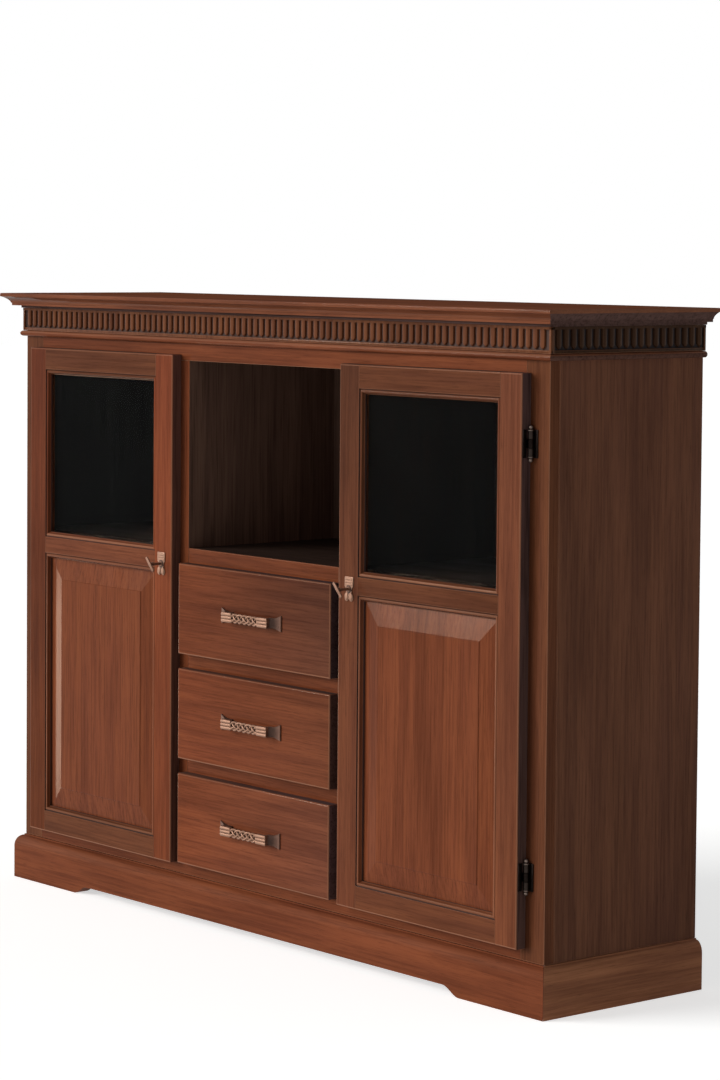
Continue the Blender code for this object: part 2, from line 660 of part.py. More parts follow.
# Drawers: front, open box and bar handle
front_x = NICHE_X + DRAWER_OVERLAY
box_x = NICHE_X - BOX_PLAY
for k, level in enumerate(("bottom", "middle", "top")):
    low = DRAWER_LOW[k]
    high = DRAWER_TOP[k]
    mid = (low + high) / 2
    slide = pivot(level + "_drawer_slide", 0.0, DOOR_BACK, mid)
    name = level + "_drawer_"
    face_x = (-front_x, front_x)
    rings = [
        upright(face_x, (low, high), 0.0, DOOR_BACK),
        upright(face_x, (low, high), 0.0, DOOR_FACE + DRAWER_EDGE),
        upright(face_x, (low, high), DRAWER_EDGE, DOOR_FACE),
    ]
    hang(loft(name + "front", rings, MAHOGANY), slide)

    runner = (FLOOR_Z if k == 0 else DRAWER_LOW[k] + DRAWER_RAIL_LAP) + FIT
    box_d = (DOOR_BACK + FIT, INNER_BACK - BOX_BACK_CLEAR)
    box_top = high - DRAWER_RAIL_LAP - BOX_HEADROOM
    tray = box(name + "box", (-box_x, box_x), box_d, (runner, box_top), MAHOGANY_INSIDE)
    well_x = box_x - BOX_SIDE_T
    well_d = (box_d[0] + BOX_SIDE_T, box_d[1] - BOX_SIDE_T)
    well_z = (runner + BOX_FLOOR_T, box_top + BOX_FLOOR_T)
    well = box(name + "well", (-well_x, well_x), well_d, well_z, home=cutters)
    hang(tray, slide)
    hang(well, slide)
    cut(tray, well)

    # Handle: flat bar whose feet sweep outwards past its ends and flare to the drawer front
    bar_d = DOOR_FACE - HANDLE_REACH
    half_l = HANDLE_L / 2
    bar_z = (mid - HANDLE_H / 2, mid + HANDLE_H / 2)
    bar = box(name + "handle", (-half_l, half_l), (bar_d, bar_d + HANDLE_T), bar_z, COPPER)
    hang(bar, slide)
    neck = HANDLE_REACH - HANDLE_T / 2
    for end in (-1, 1):
        rings = []
        for past_end, proud, tall in (
            (-FOOT_NECK_L, neck, FOOT_NECK_H),
            (-FIT, neck, FOOT_NECK_H),
            (FIT, FOOT_FLARE, FOOT_NECK_H),
            (FOOT_WAIST_SPLAY, FOOT_WAIST, FOOT_WAIST_H),
            (FOOT_SPLAY, FOOT_BASE_T, FOOT_BASE_H),
        ):
            x = end * (half_l + past_end)
            foot_y = (y(DOOR_FACE - proud), y(DOOR_FACE - FIT))
            foot_z = (mid - tall / 2, mid + tall / 2)
            rings.append(
                [
                    (x, foot_y[0], foot_z[0]),
                    (x, foot_y[1], foot_z[0]),
                    (x, foot_y[1], foot_z[1]),
                    (x, foot_y[0], foot_z[1]),
                ]
            )
        foot = loft(name + "foot_" + ("a" if end < 0 else "b"), rings, home=cutters)
        hang(foot, slide)
        join(bar, foot)
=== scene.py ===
import math

import bmesh
import bpy
import numpy as np
from mathutils import Matrix, Vector


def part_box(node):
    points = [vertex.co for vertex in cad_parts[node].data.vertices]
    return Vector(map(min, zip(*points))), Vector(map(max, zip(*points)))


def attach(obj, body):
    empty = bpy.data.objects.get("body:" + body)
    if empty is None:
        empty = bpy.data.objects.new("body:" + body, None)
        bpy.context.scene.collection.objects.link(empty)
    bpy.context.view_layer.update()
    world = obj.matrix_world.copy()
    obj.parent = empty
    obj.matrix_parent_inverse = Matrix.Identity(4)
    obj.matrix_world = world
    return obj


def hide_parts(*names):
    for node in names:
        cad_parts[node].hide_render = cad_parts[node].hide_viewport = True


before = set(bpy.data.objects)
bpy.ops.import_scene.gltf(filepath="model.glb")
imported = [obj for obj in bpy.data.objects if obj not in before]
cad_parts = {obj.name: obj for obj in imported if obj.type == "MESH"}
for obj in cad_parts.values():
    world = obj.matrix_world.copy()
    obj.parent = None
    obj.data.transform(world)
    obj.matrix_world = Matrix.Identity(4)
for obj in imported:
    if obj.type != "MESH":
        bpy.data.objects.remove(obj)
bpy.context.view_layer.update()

# Plinth: mahogany boards under the carcase with a rounded top edge, mitred at the front corners.
# The front board is sawn out in two long curves, which leaves bracket feet. Glued and blocked,
# with a plain board across the back.


def linear(code):
    # sRGB hex to linear light
    shades = [int(code[i:i + 2], 16) / 255 for i in (1, 3, 5)]
    return tuple(c / 12.92 if c <= 0.04045 else ((c + 0.055) / 1.055) ** 2.4 for c in shades) + (1.0,)


def put(tree, kind, inputs, **settings):
    # Adds one node and gives its outputs; inputs are plain values or the sockets that feed them
    node = tree.nodes.new(kind)
    for key, value in settings.items():
        setattr(node, key, value)
    for key, value in inputs.items():
        if isinstance(value, bpy.types.NodeSocket):
            tree.links.new(value, node.inputs[key])
        else:
            node.inputs[key].default_value = value
    return node.outputs


def stained_mahogany(name, body, layers, rub_and_highlight_colour, rub_and_highlight_share, gloss, shine):
    # Sawn, sanded and stained mahogany: each layer is (width mm, length mm, from, to, share, colour) of
    # one thing the eye sees along the grain, and the arrises are painted paler, partly as wear and partly
    # as highlight
    mat = bpy.data.materials.new(name)
    mat.use_nodes = True
    tree = mat.node_tree
    shader = tree.nodes["Principled BSDF"]
    board = put(tree, "ShaderNodeAttribute", {}, attribute_name="grain")["Vector"]
    colour = linear(body)
    for wide, long, low, high, share, tint in layers:
        scale = (1000 / wide, 1000 / wide, 1000 / long)
        place = put(tree, "ShaderNodeMapping", {"Vector": board, "Scale": scale})[0]
        sizes = {"Vector": place, "Scale": 1.0, "Detail": 3.0, "Roughness": 0.55}
        noise = put(tree, "ShaderNodeTexNoise", sizes)[0]
        limits = {"Value": noise, "From Min": low, "From Max": high, "To Max": share}
        amount = put(tree, "ShaderNodeMapRange", limits)[0]
        mix = {0: amount, 6: colour, 7: linear(tint)}
        colour = put(tree, "ShaderNodeMix", mix, data_type="RGBA")[2]
    # Each board's colour is multiplied by its tone, partly the board's own and partly painted light and
    # shade
    tone = put(tree, "ShaderNodeAttribute", {}, attribute_name="tone")["Color"]
    mix = {0: 1.0, 6: colour, 7: tone}
    colour = put(tree, "ShaderNodeMix", mix, data_type="RGBA", blend_type="MULTIPLY")[2]
    rub_and_highlight = put(tree, "ShaderNodeAttribute", {}, attribute_name="rub_and_highlight")["Fac"]
    wear_and_highlight = put(tree, "ShaderNodeMath", {0: rub_and_highlight, 1: rub_and_highlight_share}, operation="MULTIPLY")[0]
    mix = {0: wear_and_highlight, 6: colour, 7: linear(rub_and_highlight_colour)}
    colour = put(tree, "ShaderNodeMix", mix, data_type="RGBA")[2]
    tree.links.new(colour, shader.inputs["Base Color"])
    # Marks of the cloth, about 40 mm wide and 125 mm long
    wipe = put(tree, "ShaderNodeMapping", {"Vector": board, "Scale": (25.0, 25.0, 8.0)})[0]
    haze = put(tree, "ShaderNodeTexNoise", {"Vector": wipe, "Scale": 1.0, "Detail": 4.0})[0]
    limits = {"Value": haze, "From Min": 0.3, "From Max": 0.7, "To Min": gloss[0], "To Max": gloss[1]}
    tree.links.new(put(tree, "ShaderNodeMapRange", limits)[0], shader.inputs["Roughness"])
    # The last layer is the pores, so its noise is also the relief
    relief = {"Height": noise, "Strength": 0.15, "Distance": 0.0003}
    tree.links.new(put(tree, "ShaderNodeBump", relief)[0], shader.inputs["Normal"])
    shader.inputs["Specular IOR Level"].default_value = shine
    shader.inputs["Specular Tint"].default_value = linear("#FFD9B0")
    return mat


# Lacquered mahogany: red-brown, broad ribbon figure, fine streaks and dark pores under a satin lacquer.
# Real pores are about 0.2 mm wide and 5 mm long; they are drawn five times as coarse so that they show.
SHOW_LAYERS = (
    (200, 700, 0.36, 0.66, 0.55, "#502612"),
    (50, 420, 0.42, 0.68, 0.55, "#8C4B2C"),
    (14, 320, 0.40, 0.66, 0.50, "#844729"),
    (3.6, 130, 0.44, 0.68, 0.46, "#4E2313"),
    (1.1, 30, 0.56, 0.72, 0.42, "#2B120A"),
)
SHOW_STAIN = ("#6E3923", SHOW_LAYERS, "#98684F", 0.55)
MAHOGANY = stained_mahogany("lacquered_mahogany", *SHOW_STAIN, (0.10, 0.17), 0.04)
# The plinth's lacquer is scuffed dull by shoes and mops
SCUFFED = stained_mahogany("scuffed_mahogany", *SHOW_STAIN, (0.42, 0.56), 0.03)


def loft(rings):
    # A skin over rings of equally many points, closed at both ends
    bm = bmesh.new()
    loops = [[bm.verts.new(p) for p in ring] for ring in rings]
    count = len(loops[0])
    for low, high in zip(loops, loops[1:]):
        for i in range(count):
            j = (i + 1) % count
            bm.faces.new((low[i], low[j], high[j], high[i]))
    bm.faces.new(loops[0])
    bm.faces.new(loops[-1])
    bmesh.ops.recalc_face_normals(bm, faces=bm.faces)
    return bm


def together(*shapes):
    # Several closed shapes in one mesh
    whole = bmesh.new()
    whole.faces.layers.float.new("rub_and_highlight")
    for bm in shapes:
        mesh = bpy.data.meshes.new("shape")
        bm.to_mesh(mesh)
        bm.free()
        whole.from_mesh(mesh)
        bpy.data.meshes.remove(mesh)
    return whole


def ease(bm, radius, segments=2, where=None):
    # Rounds the outer arrises, all of them or those that the test picks by their middle point
    rub_and_highlight = bm.faces.layers.float.get("rub_and_highlight") or bm.faces.layers.float.new("rub_and_highlight")
    edges = []
    for edge in bm.edges:
        if edge.is_manifold and edge.is_convex and edge.calc_face_angle() > math.radians(25):
            if where is None or where((edge.verts[0].co + edge.verts[1].co) / 2):
                edges.append(edge)
    made = bmesh.ops.bevel(
        bm,
        geom=edges,
        offset=radius,
        offset_type="OFFSET",
        segments=segments,
        profile=0.5,
        affect="EDGES",
        clamp_overlap=True,
    )
    # The arrises are painted paler, partly as wear and partly as highlight: the lower ones most, as if lit
    # from below
    bm.normal_update()
    for face in made["faces"]:
        face[rub_and_highlight] = 1.0 - 0.65 * max(-1.0, min(1.0, 2.0 * face.normal.z))
    return bm


def as_sawn(node):
    # The board as the carcase has it, its triangles joined to whole faces
    bm = bmesh.new()
    bm.from_mesh(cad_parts[node].data)
    bmesh.ops.remove_doubles(bm, verts=bm.verts, dist=0.00001)
    bmesh.ops.dissolve_limit(bm, angle_limit=0.01, verts=bm.verts, edges=bm.edges)
    return bm


def fit(name, bm, finish, body, nodes=(), crease=15):
    # Makes the piece, lets it ride on its body and stand for its CAD nodes
    mesh = bpy.data.meshes.new(name)
    bm.to_mesh(mesh)
    bm.free()
    mesh.shade_smooth()
    mesh.set_sharp_from_angle(angle=math.radians(crease))
    for coat in finish:
        mesh.materials.append(coat)
    piece = bpy.data.objects.new(name, mesh)
    bpy.context.scene.collection.objects.link(piece)
    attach(piece, body)
    if nodes:
        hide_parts(*nodes)
    return piece


BOARDS = []
LOG_STEP = np.array((0.37, 0.61, 1.70))
EVEN = (1.0, 1.06, 1.18)


def lay_grain(piece, along, tone=EVEN, far_tone=None):
    # Each board has its own place in the log, across, through and along the grain, and its own tone, partly
    # its own colour and partly painted light and shade, which may change on the way from the left or lower
    # end to the other
    order = {"x": (1, 2, 0), "y": (0, 2, 1), "z": (0, 1, 2)}[along]
    BOARDS.append(piece.name)
    place = np.array([v.co for v in piece.data.vertices])[:, order]
    share = (place[:, 2:] - place[:, 2].min()) / np.ptp(place[:, 2])
    stain = np.array(tone) * (1 - share) + np.array(far_tone or tone) * share
    stain = np.hstack((stain, np.ones_like(share)))
    place = place + LOG_STEP * len(BOARDS)
    layer = piece.data.attributes.new("grain", "FLOAT_VECTOR", "POINT")
    layer.data.foreach_set("vector", place.astype(np.float32).ravel())
    layer = piece.data.attributes.new("tone", "FLOAT_COLOR", "POINT")
    layer.data.foreach_set("color", stain.astype(np.float32).ravel())


low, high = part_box("corner_stile_left")
FRAME_Y = low.y
BACK_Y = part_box("back_panel")[1].y
HALF_W = -low.x


def around(out, z):
    # Corners of a moulding that stands proud of the front and both sides
    reach = HALF_W + out
    front = FRAME_Y - out
    return [(-reach, front, z), (reach, front, z), (reach, BACK_Y, z), (-reach, BACK_Y, z)]


PLINTH_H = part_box("plinth_front")[1].z
PLINTH_OUT = FRAME_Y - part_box("plinth_front")[0].y
PLINTH_T = 0.024
FACE_H = 0.056
STEP = 0.002
FOOT_L = 0.187
CURVE_L = 0.038
ARCH_H = 0.0145
MITRE_GAP = 0.0006


def plinth_section(foot_z):
    # (out, height) round the board, from the foot of its face over the rounded edge to its back
    line = [(PLINTH_OUT, foot_z), (PLINTH_OUT, FACE_H)]
    for k in range(1, 13):
        a = math.pi / 2 * k / 12
        out = PLINTH_OUT - (PLINTH_OUT - STEP) * (1 - math.cos(a))
        line.append((out, FACE_H + (PLINTH_H - STEP - FACE_H) * math.sin(a)))
    back = PLINTH_OUT - PLINTH_T
    return line + [(STEP, PLINTH_H), (back, PLINTH_H), (back, foot_z)]


foot_end = HALF_W + PLINTH_OUT - FOOT_L
stations = [(1.0, 0.0)]
for k in range(17):
    rise = ARCH_H * (0.5 - 0.5 * math.cos(math.pi * k / 16))
    stations.append(((foot_end - CURVE_L * k / 16) / HALF_W, rise))
stations = stations + [(-share, rise) for share, rise in stations[::-1]]
rings = []
for share, rise in stations:
    at_corner = abs(share) == 1.0
    ring = []
    for out, z in plinth_section(rise):
        x = share * (HALF_W + out) if at_corner else share * HALF_W
        ring.append((x, FRAME_Y - out, z))
    rings.append(ring)
board = fit("plinth_front_board", loft(rings), [SCUFFED], "cabinet", ["plinth_front"])
lay_grain(board, "x")
# The ends are painted paler, the right one most, as light thrown up from the floor
for side, i, tone in (("left", 0, (1.2, 1.9, 2.6)), ("right", 1, (2.1, 3.3, 4.6))):
    near = [around(out, z)[i] for out, z in plinth_section(0.0)]
    near = [(x, y + MITRE_GAP, z) for x, y, z in near]
    far = [around(out, z)[3 - i] for out, z in plinth_section(0.0)]
    board = loft([near, far])
    board = fit("plinth_" + side + "_board", board, [SCUFFED], "cabinet", ["plinth_" + side])
    lay_grain(board, "y", tone)

# Dark-stained mahogany: the insides, the back and the drawer boxes, brown-black stain without lacquer.
# It looks matt and nearly black, with only a little of the figure left in it. Inside the cupboard the
# near-black is partly painted shade.
INSIDE_LAYERS = (
    (180, 600, 0.36, 0.66, 0.50, "#1E1511"),
    (15, 300, 0.42, 0.68, 0.55, "#3A2A22"),
    (4.5, 110, 0.48, 0.70, 0.60, "#18110D"),
    (1.1, 26, 0.58, 0.74, 0.50, "#0E0907"),
)
INSIDE_STAIN_AND_SHADE = ("#2C1F18", INSIDE_LAYERS, "#4A3026", 0.35)
INSIDE = stained_mahogany("dark_stained_and_shaded_mahogany", *INSIDE_STAIN_AND_SHADE, (0.48, 0.62), 0.04)
board = ease(as_sawn("plinth_back"), 0.001)
board = fit("plinth_back_board", board, [INSIDE], "cabinet", ["plinth_back"])
lay_grain(board, "x")

# Carcase: solid sides, base, dividers, shelves and dust boards of mahogany, housed and glued.
# Their arrises are eased with a plane. Only what shows from outside is lacquered, the rest is stained dark.


def darken(bm, test=None):
    # Gives the faces that the test picks, or all of them, the second finish
    bm.normal_update()
    for face in bm.faces:
        if test is None or test(face):
            face.material_index = 1
    return bm


# Brown-stained mahogany lines the open niche: between the lacquered face and the black insides. Its brown
# is painted paler, as light in the shaded niche.
NICHE_LAYERS = (
    (180, 600, 0.36, 0.66, 0.5, "#4E392F"),
    (14, 300, 0.42, 0.68, 0.5, "#85644F"),
    (3.6, 120, 0.46, 0.70, 0.6, "#412E24"),
)
NICHE_STAIN_AND_LIGHT = ("#725444", NICHE_LAYERS, "#7A5A49", 0.35)
NICHE = stained_mahogany("brown_stained_mahogany_painted_light", *NICHE_STAIN_AND_LIGHT, (0.36, 0.50), 0.04)
# The outer sides are painted greyer, as the lacquer's sheen on their shaded faces
GREYER = (0.87, 1.31, 1.95)
DULLER = (0.74, 0.94, 1.15)
CARCASE = (
    ("base_board", "x", 0.0010, EVEN),
    ("side_left", "z", 0.0010, GREYER),
    ("side_right", "z", 0.0010, GREYER),
    ("corner_stile_left", "z", 0.0012, DULLER),
    ("corner_stile_right", "z", 0.0012, DULLER),
    ("top_rail", "x", 0.0008, EVEN),
    ("divider_left", "z", 0.0010, EVEN),
    ("divider_right", "z", 0.0010, EVEN),
    ("niche_shelf", "x", 0.0015, EVEN),
    ("drawer_rail_upper", "x", 0.0010, EVEN),
    ("drawer_rail_lower", "x", 0.0010, EVEN),
)
NICHE_HALF = -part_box("divider_left")[1].x
NICHE_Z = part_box("niche_shelf")[1].z


def unseen(face):
    # Neither on the front nor on the outer sides
    return face.normal.y > -0.3 and abs(face.calc_center_median().x) < HALF_W - 0.003


def in_niche(bm):
    # Gives the faces that line the niche the third finish, cut off from the cupboard below. The niche's
    # floor keeps the near-black finish as painted shade
    cuts = [((0, 0, NICHE_Z), (0, 0, 1))]
    cuts += [((x, 0, 0), (1, 0, 0)) for x in (NICHE_HALF, -NICHE_HALF)]
    for at, across in cuts:
        parts = list(bm.verts) + list(bm.edges) + list(bm.faces)
        bmesh.ops.bisect_plane(bm, geom=parts, plane_co=at, plane_no=across, dist=0.0001)
    bm.normal_update()
    for face in bm.faces:
        # The eased arrises of the shelf and the dividers belong to the lining
        middle = face.calc_center_median()
        lining = middle.z > NICHE_Z - 0.0016 and abs(middle.x) < NICHE_HALF + 0.0011
        if lining and face.material_index == 1 and face.normal.z < 0.5:
            face.material_index = 2
    return bm


for node, along, radius, tone in CARCASE:
    board = in_niche(darken(ease(as_sawn(node), radius), unseen))
    board = fit(node + "_wood", board, [MAHOGANY, INSIDE, NICHE], "cabinet", [node])
    lay_grain(board, along, tone)
for node in ("display_shelf_left", "display_shelf_right"):
    board = fit(node + "_wood", ease(as_sawn(node), 0.001), [INSIDE], "cabinet", [node])
    lay_grain(board, "x")

# Back panel: thin dark-stained board let into the sides and held by panel pins all round.
# It sits a hair inside the carcase, so the pin heads are flush with the back.


def block(xs, ys, zs):
    # A plain length of timber or bar, still square
    corners = [(xs[0], ys[0]), (xs[1], ys[0]), (xs[1], ys[1]), (xs[0], ys[1])]
    return loft([[(x, y, z) for x, y in corners] for z in zs])


low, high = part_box("back_panel")
PIN_R = 0.0022
PIN_PROUD = 0.0006
PIN_IN = 0.010
PINS_X = 12
PINS_Z = 8
FIRST_X = 0.06
FIRST_Z = 0.09
panel = ease(block((low.x, high.x), (low.y, high.y - PIN_PROUD), (low.z, high.z)), 0.0008)
panel = in_niche(darken(panel, lambda face: face.normal.y < -0.9))
finish = [INSIDE, INSIDE, NICHE]
panel = fit("back_panel_board", panel, finish, "cabinet", ["back_panel"])
lay_grain(panel, "z")


def blank_tree(name, sockets):
    # An empty tree for a part that repeats, with its named inputs
    tree = bpy.data.node_groups.new(name, "GeometryNodeTree")
    for socket, kind in sockets.items():
        tree.interface.new_socket(socket, in_out="INPUT", socket_type="NodeSocket" + kind)
    tree.interface.new_socket("Shape", in_out="OUTPUT", socket_type="NodeSocketGeometry")
    return tree


# One tree sets a part out in a straight row: pins, screws and the reeds of the frieze
sockets = {"Part": "Geometry", "Count": "Int", "First place": "Vector", "Step": "Vector"}
sockets["Finish"] = "Material"
ROW = blank_tree("row_of_parts", sockets)
given = put(ROW, "NodeGroupInput", {})
spots = {"Count": given["Count"], "Start Location": given["First place"], "Offset": given["Step"]}
spots = put(ROW, "GeometryNodeMeshLine", spots, mode="OFFSET")[0]
copies = put(ROW, "GeometryNodeInstanceOnPoints", {"Points": spots, "Instance": given["Part"]})[0]
solid = put(ROW, "GeometryNodeRealizeInstances", {"Geometry": copies})[0]
coated = put(ROW, "GeometryNodeSetMaterial", {"Geometry": solid, "Material": given["Finish"]})[0]
put(ROW, "NodeGroupOutput", {"Shape": coated})


def grown(tree, part, sizes):
    # What the tree makes of a part, as a plain shape
    mesh = bpy.data.meshes.new(tree.name)
    part.to_mesh(mesh)
    maker = bpy.data.objects.new(tree.name, mesh)
    bpy.context.scene.collection.objects.link(maker)
    modifier = maker.modifiers.new(tree.name, "NODES")
    modifier.node_group = tree
    for socket in tree.interface.items_tree:
        if socket.name in sizes:
            modifier[socket.identifier] = sizes[socket.name]
    graph = bpy.context.evaluated_depsgraph_get()
    made = bpy.data.meshes.new_from_object(maker.evaluated_get(graph))
    bpy.data.objects.remove(maker)
    bm = bmesh.new()
    bm.from_mesh(made)
    bpy.data.meshes.remove(made)
    for face in bm.faces:
        face.material_index = 0
    return bm


def turned(profile, centre, axis, sides):
    # A piece turned on the lathe from (radius, distance along the axis) pairs
    rings = []
    for radius, along in profile:
        ring = []
        for k in range(sides):
            a = 2 * math.pi * k / sides
            u = radius * math.cos(a)
            v = radius * math.sin(a)
            offset = {"x": (along, u, v), "y": (u, along, v), "z": (u, v, along)}[axis]
            ring.append(Vector(centre) + Vector(offset))
        rings.append(ring)
    return loft(rings)


def cast_metal(name, body, patina, bright, wear_and_highlight, patina_size, rough, bare=1.0):
    # A cast and lacquered fitting: patina lies in soft patches, raised arrises are rubbed bright, and some
    # faces are painted paler as highlight
    mat = bpy.data.materials.new(name)
    mat.use_nodes = True
    tree = mat.node_tree
    shader = tree.nodes["Principled BSDF"]
    place = put(tree, "ShaderNodeTexCoord", {})["Object"]
    scale = 1000 / patina_size
    cloud = put(tree, "ShaderNodeTexNoise", {"Vector": place, "Scale": scale, "Detail": 4.0})[0]
    limits = {"Value": cloud, "From Min": 0.38, "From Max": 0.64, "To Max": 0.8}
    amount = put(tree, "ShaderNodeMapRange", limits)[0]
    mix = {0: amount, 6: linear(body), 7: linear(patina)}
    colour = put(tree, "ShaderNodeMix", mix, data_type="RGBA")[2]
    rub_and_highlight = put(tree, "ShaderNodeAttribute", {}, attribute_name="rub_and_highlight")["Fac"]
    amount = put(tree, "ShaderNodeMath", {0: rub_and_highlight, 1: wear_and_highlight}, operation="MULTIPLY")[0]
    mix = {0: amount, 6: colour, 7: linear(bright)}
    colour = put(tree, "ShaderNodeMix", mix, data_type="RGBA")[2]
    tree.links.new(colour, shader.inputs["Base Color"])
    # Casting grain of about 0.4 mm, drawn at 0.9 mm so that it shows
    grit = put(tree, "ShaderNodeTexNoise", {"Vector": place, "Scale": 1100.0, "Detail": 2.0})[0]
    limits = {"Value": grit, "From Min": 0.3, "From Max": 0.7, "To Min": rough[0], "To Max": rough[1]}
    tree.links.new(put(tree, "ShaderNodeMapRange", limits)[0], shader.inputs["Roughness"])
    relief = {"Height": grit, "Strength": 0.2, "Distance": 0.0002}
    tree.links.new(put(tree, "ShaderNodeBump", relief)[0], shader.inputs["Normal"])
    shader.inputs["Metallic"].default_value = bare
    return mat


# Plain steel, drawn and slightly tarnished: grey with brownish patches, a dull shine
STEEL = cast_metal("drawn_steel", "#8F8B86", "#6A625B", "#B9B5AF", 0.6, 14, (0.34, 0.50))
# Degrees above which a fold in metal stays sharp
CREASE = 35
pin = turned(((0.0002, 0.0), (PIN_R, 0.0), (PIN_R * 0.9, -0.0012), (0.0002, -0.0012)), (0, 0, 0), "y", 10)
rows = []
for z in (low.z + PIN_IN, high.z - PIN_IN):
    sizes = {"Count": PINS_X, "First place": (low.x + FIRST_X, high.y, z), "Finish": STEEL}
    sizes["Step"] = ((high.x - low.x - 2 * FIRST_X) / (PINS_X - 1), 0.0, 0.0)
    rows.append(grown(ROW, pin, sizes))
for x in (low.x + PIN_IN, high.x - PIN_IN):
    sizes = {"Count": PINS_Z, "First place": (x, high.y, low.z + FIRST_Z), "Finish": STEEL}
    sizes["Step"] = (0.0, 0.0, (high.z - low.z - 2 * FIRST_Z) / (PINS_Z - 1))
    rows.append(grown(ROW, pin, sizes))
fit("back_panel_pins", together(*rows), [STEEL], "cabinet", crease=CREASE)

# Frieze: thin mahogany strips glued round the top of the carcase, worked to a row of reeds.
# Each reed is a rounded upright bar that ends in a rounded point above a narrow plain band.
# Its ground is painted almost black as shade, and so are the ends and edges of doors and drawers, the
# quirks of the door mouldings, the top's neck and end coves and the bead's lower half at the sides.
PAINTED_SHADE_LAYERS = ((15, 300, 0.42, 0.68, 0.55, "#4E3328"), (3.6, 120, 0.48, 0.70, 0.60, "#2A1B14"))
PAINTED_SHADE_COLOURS = ("#604236", PAINTED_SHADE_LAYERS, "#6B4A3C", 0.20)
PAINTED_SHADE = stained_mahogany("painted_shade_mahogany", *PAINTED_SHADE_COLOURS, (0.50, 0.62), 0.0)
FRIEZE_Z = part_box("frieze_front")[0].z
FRIEZE_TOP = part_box("frieze_front")[1].z
GLUE = 0.0003
FRIEZE_OUT = FRAME_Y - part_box("frieze_front")[0].y
REED_PITCH = 0.0155
REED_W = 0.0104
REED_TIP = 0.0050
REED_GAP = 0.0012
REED_CREASE = 30
GROUND_T = 0.0011
BAND_H = 0.0050
BAND_OUT = 0.0034
TOP_BAND_H = 0.0040
CORNER_W = 0.0036


def reed():
    # One reed on the front, its back at y = 0
    bottom = FRIEZE_Z + BAND_H + REED_GAP
    deep = FRIEZE_OUT - GLUE - GROUND_T
    rings = []
    for z, share in (
        (bottom, 0.04),
        (bottom + REED_TIP * 0.45, 0.55),
        (bottom + REED_TIP, 1.0),
        (FRIEZE_TOP - TOP_BAND_H, 1.0),
    ):
        ring = []
        for k in range(7):
            a = math.pi * k / 6
            shoulder = 0.35 + 0.65 * math.sin(a) ** 0.6 if 0 < k < 6 else 0.0
            ring.append((-REED_W / 2 * share * math.cos(a), -deep * shoulder * min(1.0, 0.5 + share), z))
        rings.append(ring)
    return loft(rings)


def strip(length, count):
    # A frieze strip along X, centred, with its back at y = 0
    half = length / 2
    deep = FRIEZE_OUT - GLUE
    ground = block((-half, half), (-GROUND_T, 0.0), (FRIEZE_Z, FRIEZE_TOP))
    # The ground between the reeds is painted almost black as shade
    shapes = [darken(ground)]
    shapes.append(ease(block((-half, half), (-BAND_OUT, 0.0), (FRIEZE_Z, FRIEZE_Z + BAND_H)), 0.0008))
    shapes.append(block((-half, half), (-deep, 0.0), (FRIEZE_TOP - TOP_BAND_H, FRIEZE_TOP)))
    for end in (-1, 1):
        xs = sorted((end * (half - CORNER_W), end * half))
        shapes.append(ease(block(xs, (-deep, 0.0), (FRIEZE_Z, FRIEZE_TOP)), 0.0008))
    sizes = {"Count": count, "Step": (REED_PITCH, 0.0, 0.0), "Finish": MAHOGANY}
    sizes["First place"] = (-(count - 1) * REED_PITCH / 2, -GROUND_T, 0.0)
    shapes.append(grown(ROW, reed(), sizes))
    return together(*shapes)


front = 2 * (HALF_W + FRIEZE_OUT)
board = strip(front, int((front - 2 * CORNER_W) / REED_PITCH))
bmesh.ops.translate(board, verts=board.verts, vec=(0, FRAME_Y - GLUE, 0))
finish = [MAHOGANY, PAINTED_SHADE]
board = fit("frieze_front_strip", board, finish, "cabinet", ["frieze_front"], REED_CREASE)
lay_grain(board, "z", (0.84, 1.14, 1.42))
depth = BACK_Y - FRAME_Y
for side, s in (("left", -1), ("right", 1)):
    board = strip(depth, int((depth - 2 * CORNER_W) / REED_PITCH))
    bmesh.ops.rotate(board, verts=board.verts, matrix=Matrix.Rotation(s * math.pi / 2, 3, "Z"))
    bmesh.ops.translate(board, verts=board.verts, vec=(s * (HALF_W + GLUE), FRAME_Y + depth / 2, 0))
    name = "frieze_" + side
    board = fit(name + "_strip", board, finish, "cabinet", [name], REED_CREASE)
    # The side strips are painted much darker, as shade under the top's overhang
    lay_grain(board, "z", (0.34, 0.60, 0.92))

# Bead: a half-round mahogany strip below the frieze, mitred round the front and both sides and glued
# on. Its upper slope is painted paler as a highlight, and its lower half at the sides is painted dark as
# shade.
low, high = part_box("astragal_bead")
BEAD_OUT = FRAME_Y - low.y
mid_z = (low.z + high.z) / 2
half_h = (high.z - low.z) / 2
line = [(GLUE, low.z), (GLUE, high.z)]
for k in range(15):
    a = math.pi / 2 - math.pi * k / 14
    line.append((BEAD_OUT * (0.35 + 0.65 * math.cos(a)), mid_z + half_h * math.sin(a)))
bead = loft([[around(out, z)[i] for out, z in line] for i in (3, 0, 1, 2)])
bead.normal_update()
rub_and_highlight = bead.faces.layers.float.new("rub_and_highlight")
for face in bead.faces:
    face[rub_and_highlight] = 0.7 if 0.2 < face.normal.z < 0.9 else 0.0
darken(bead, lambda face: abs(face.normal.x) > 0.1 and face.normal.z < 0.4)
bead = fit("astragal_bead_strip", bead, [MAHOGANY, PAINTED_SHADE], "cabinet", ["astragal_bead"])
lay_grain(bead, "x")

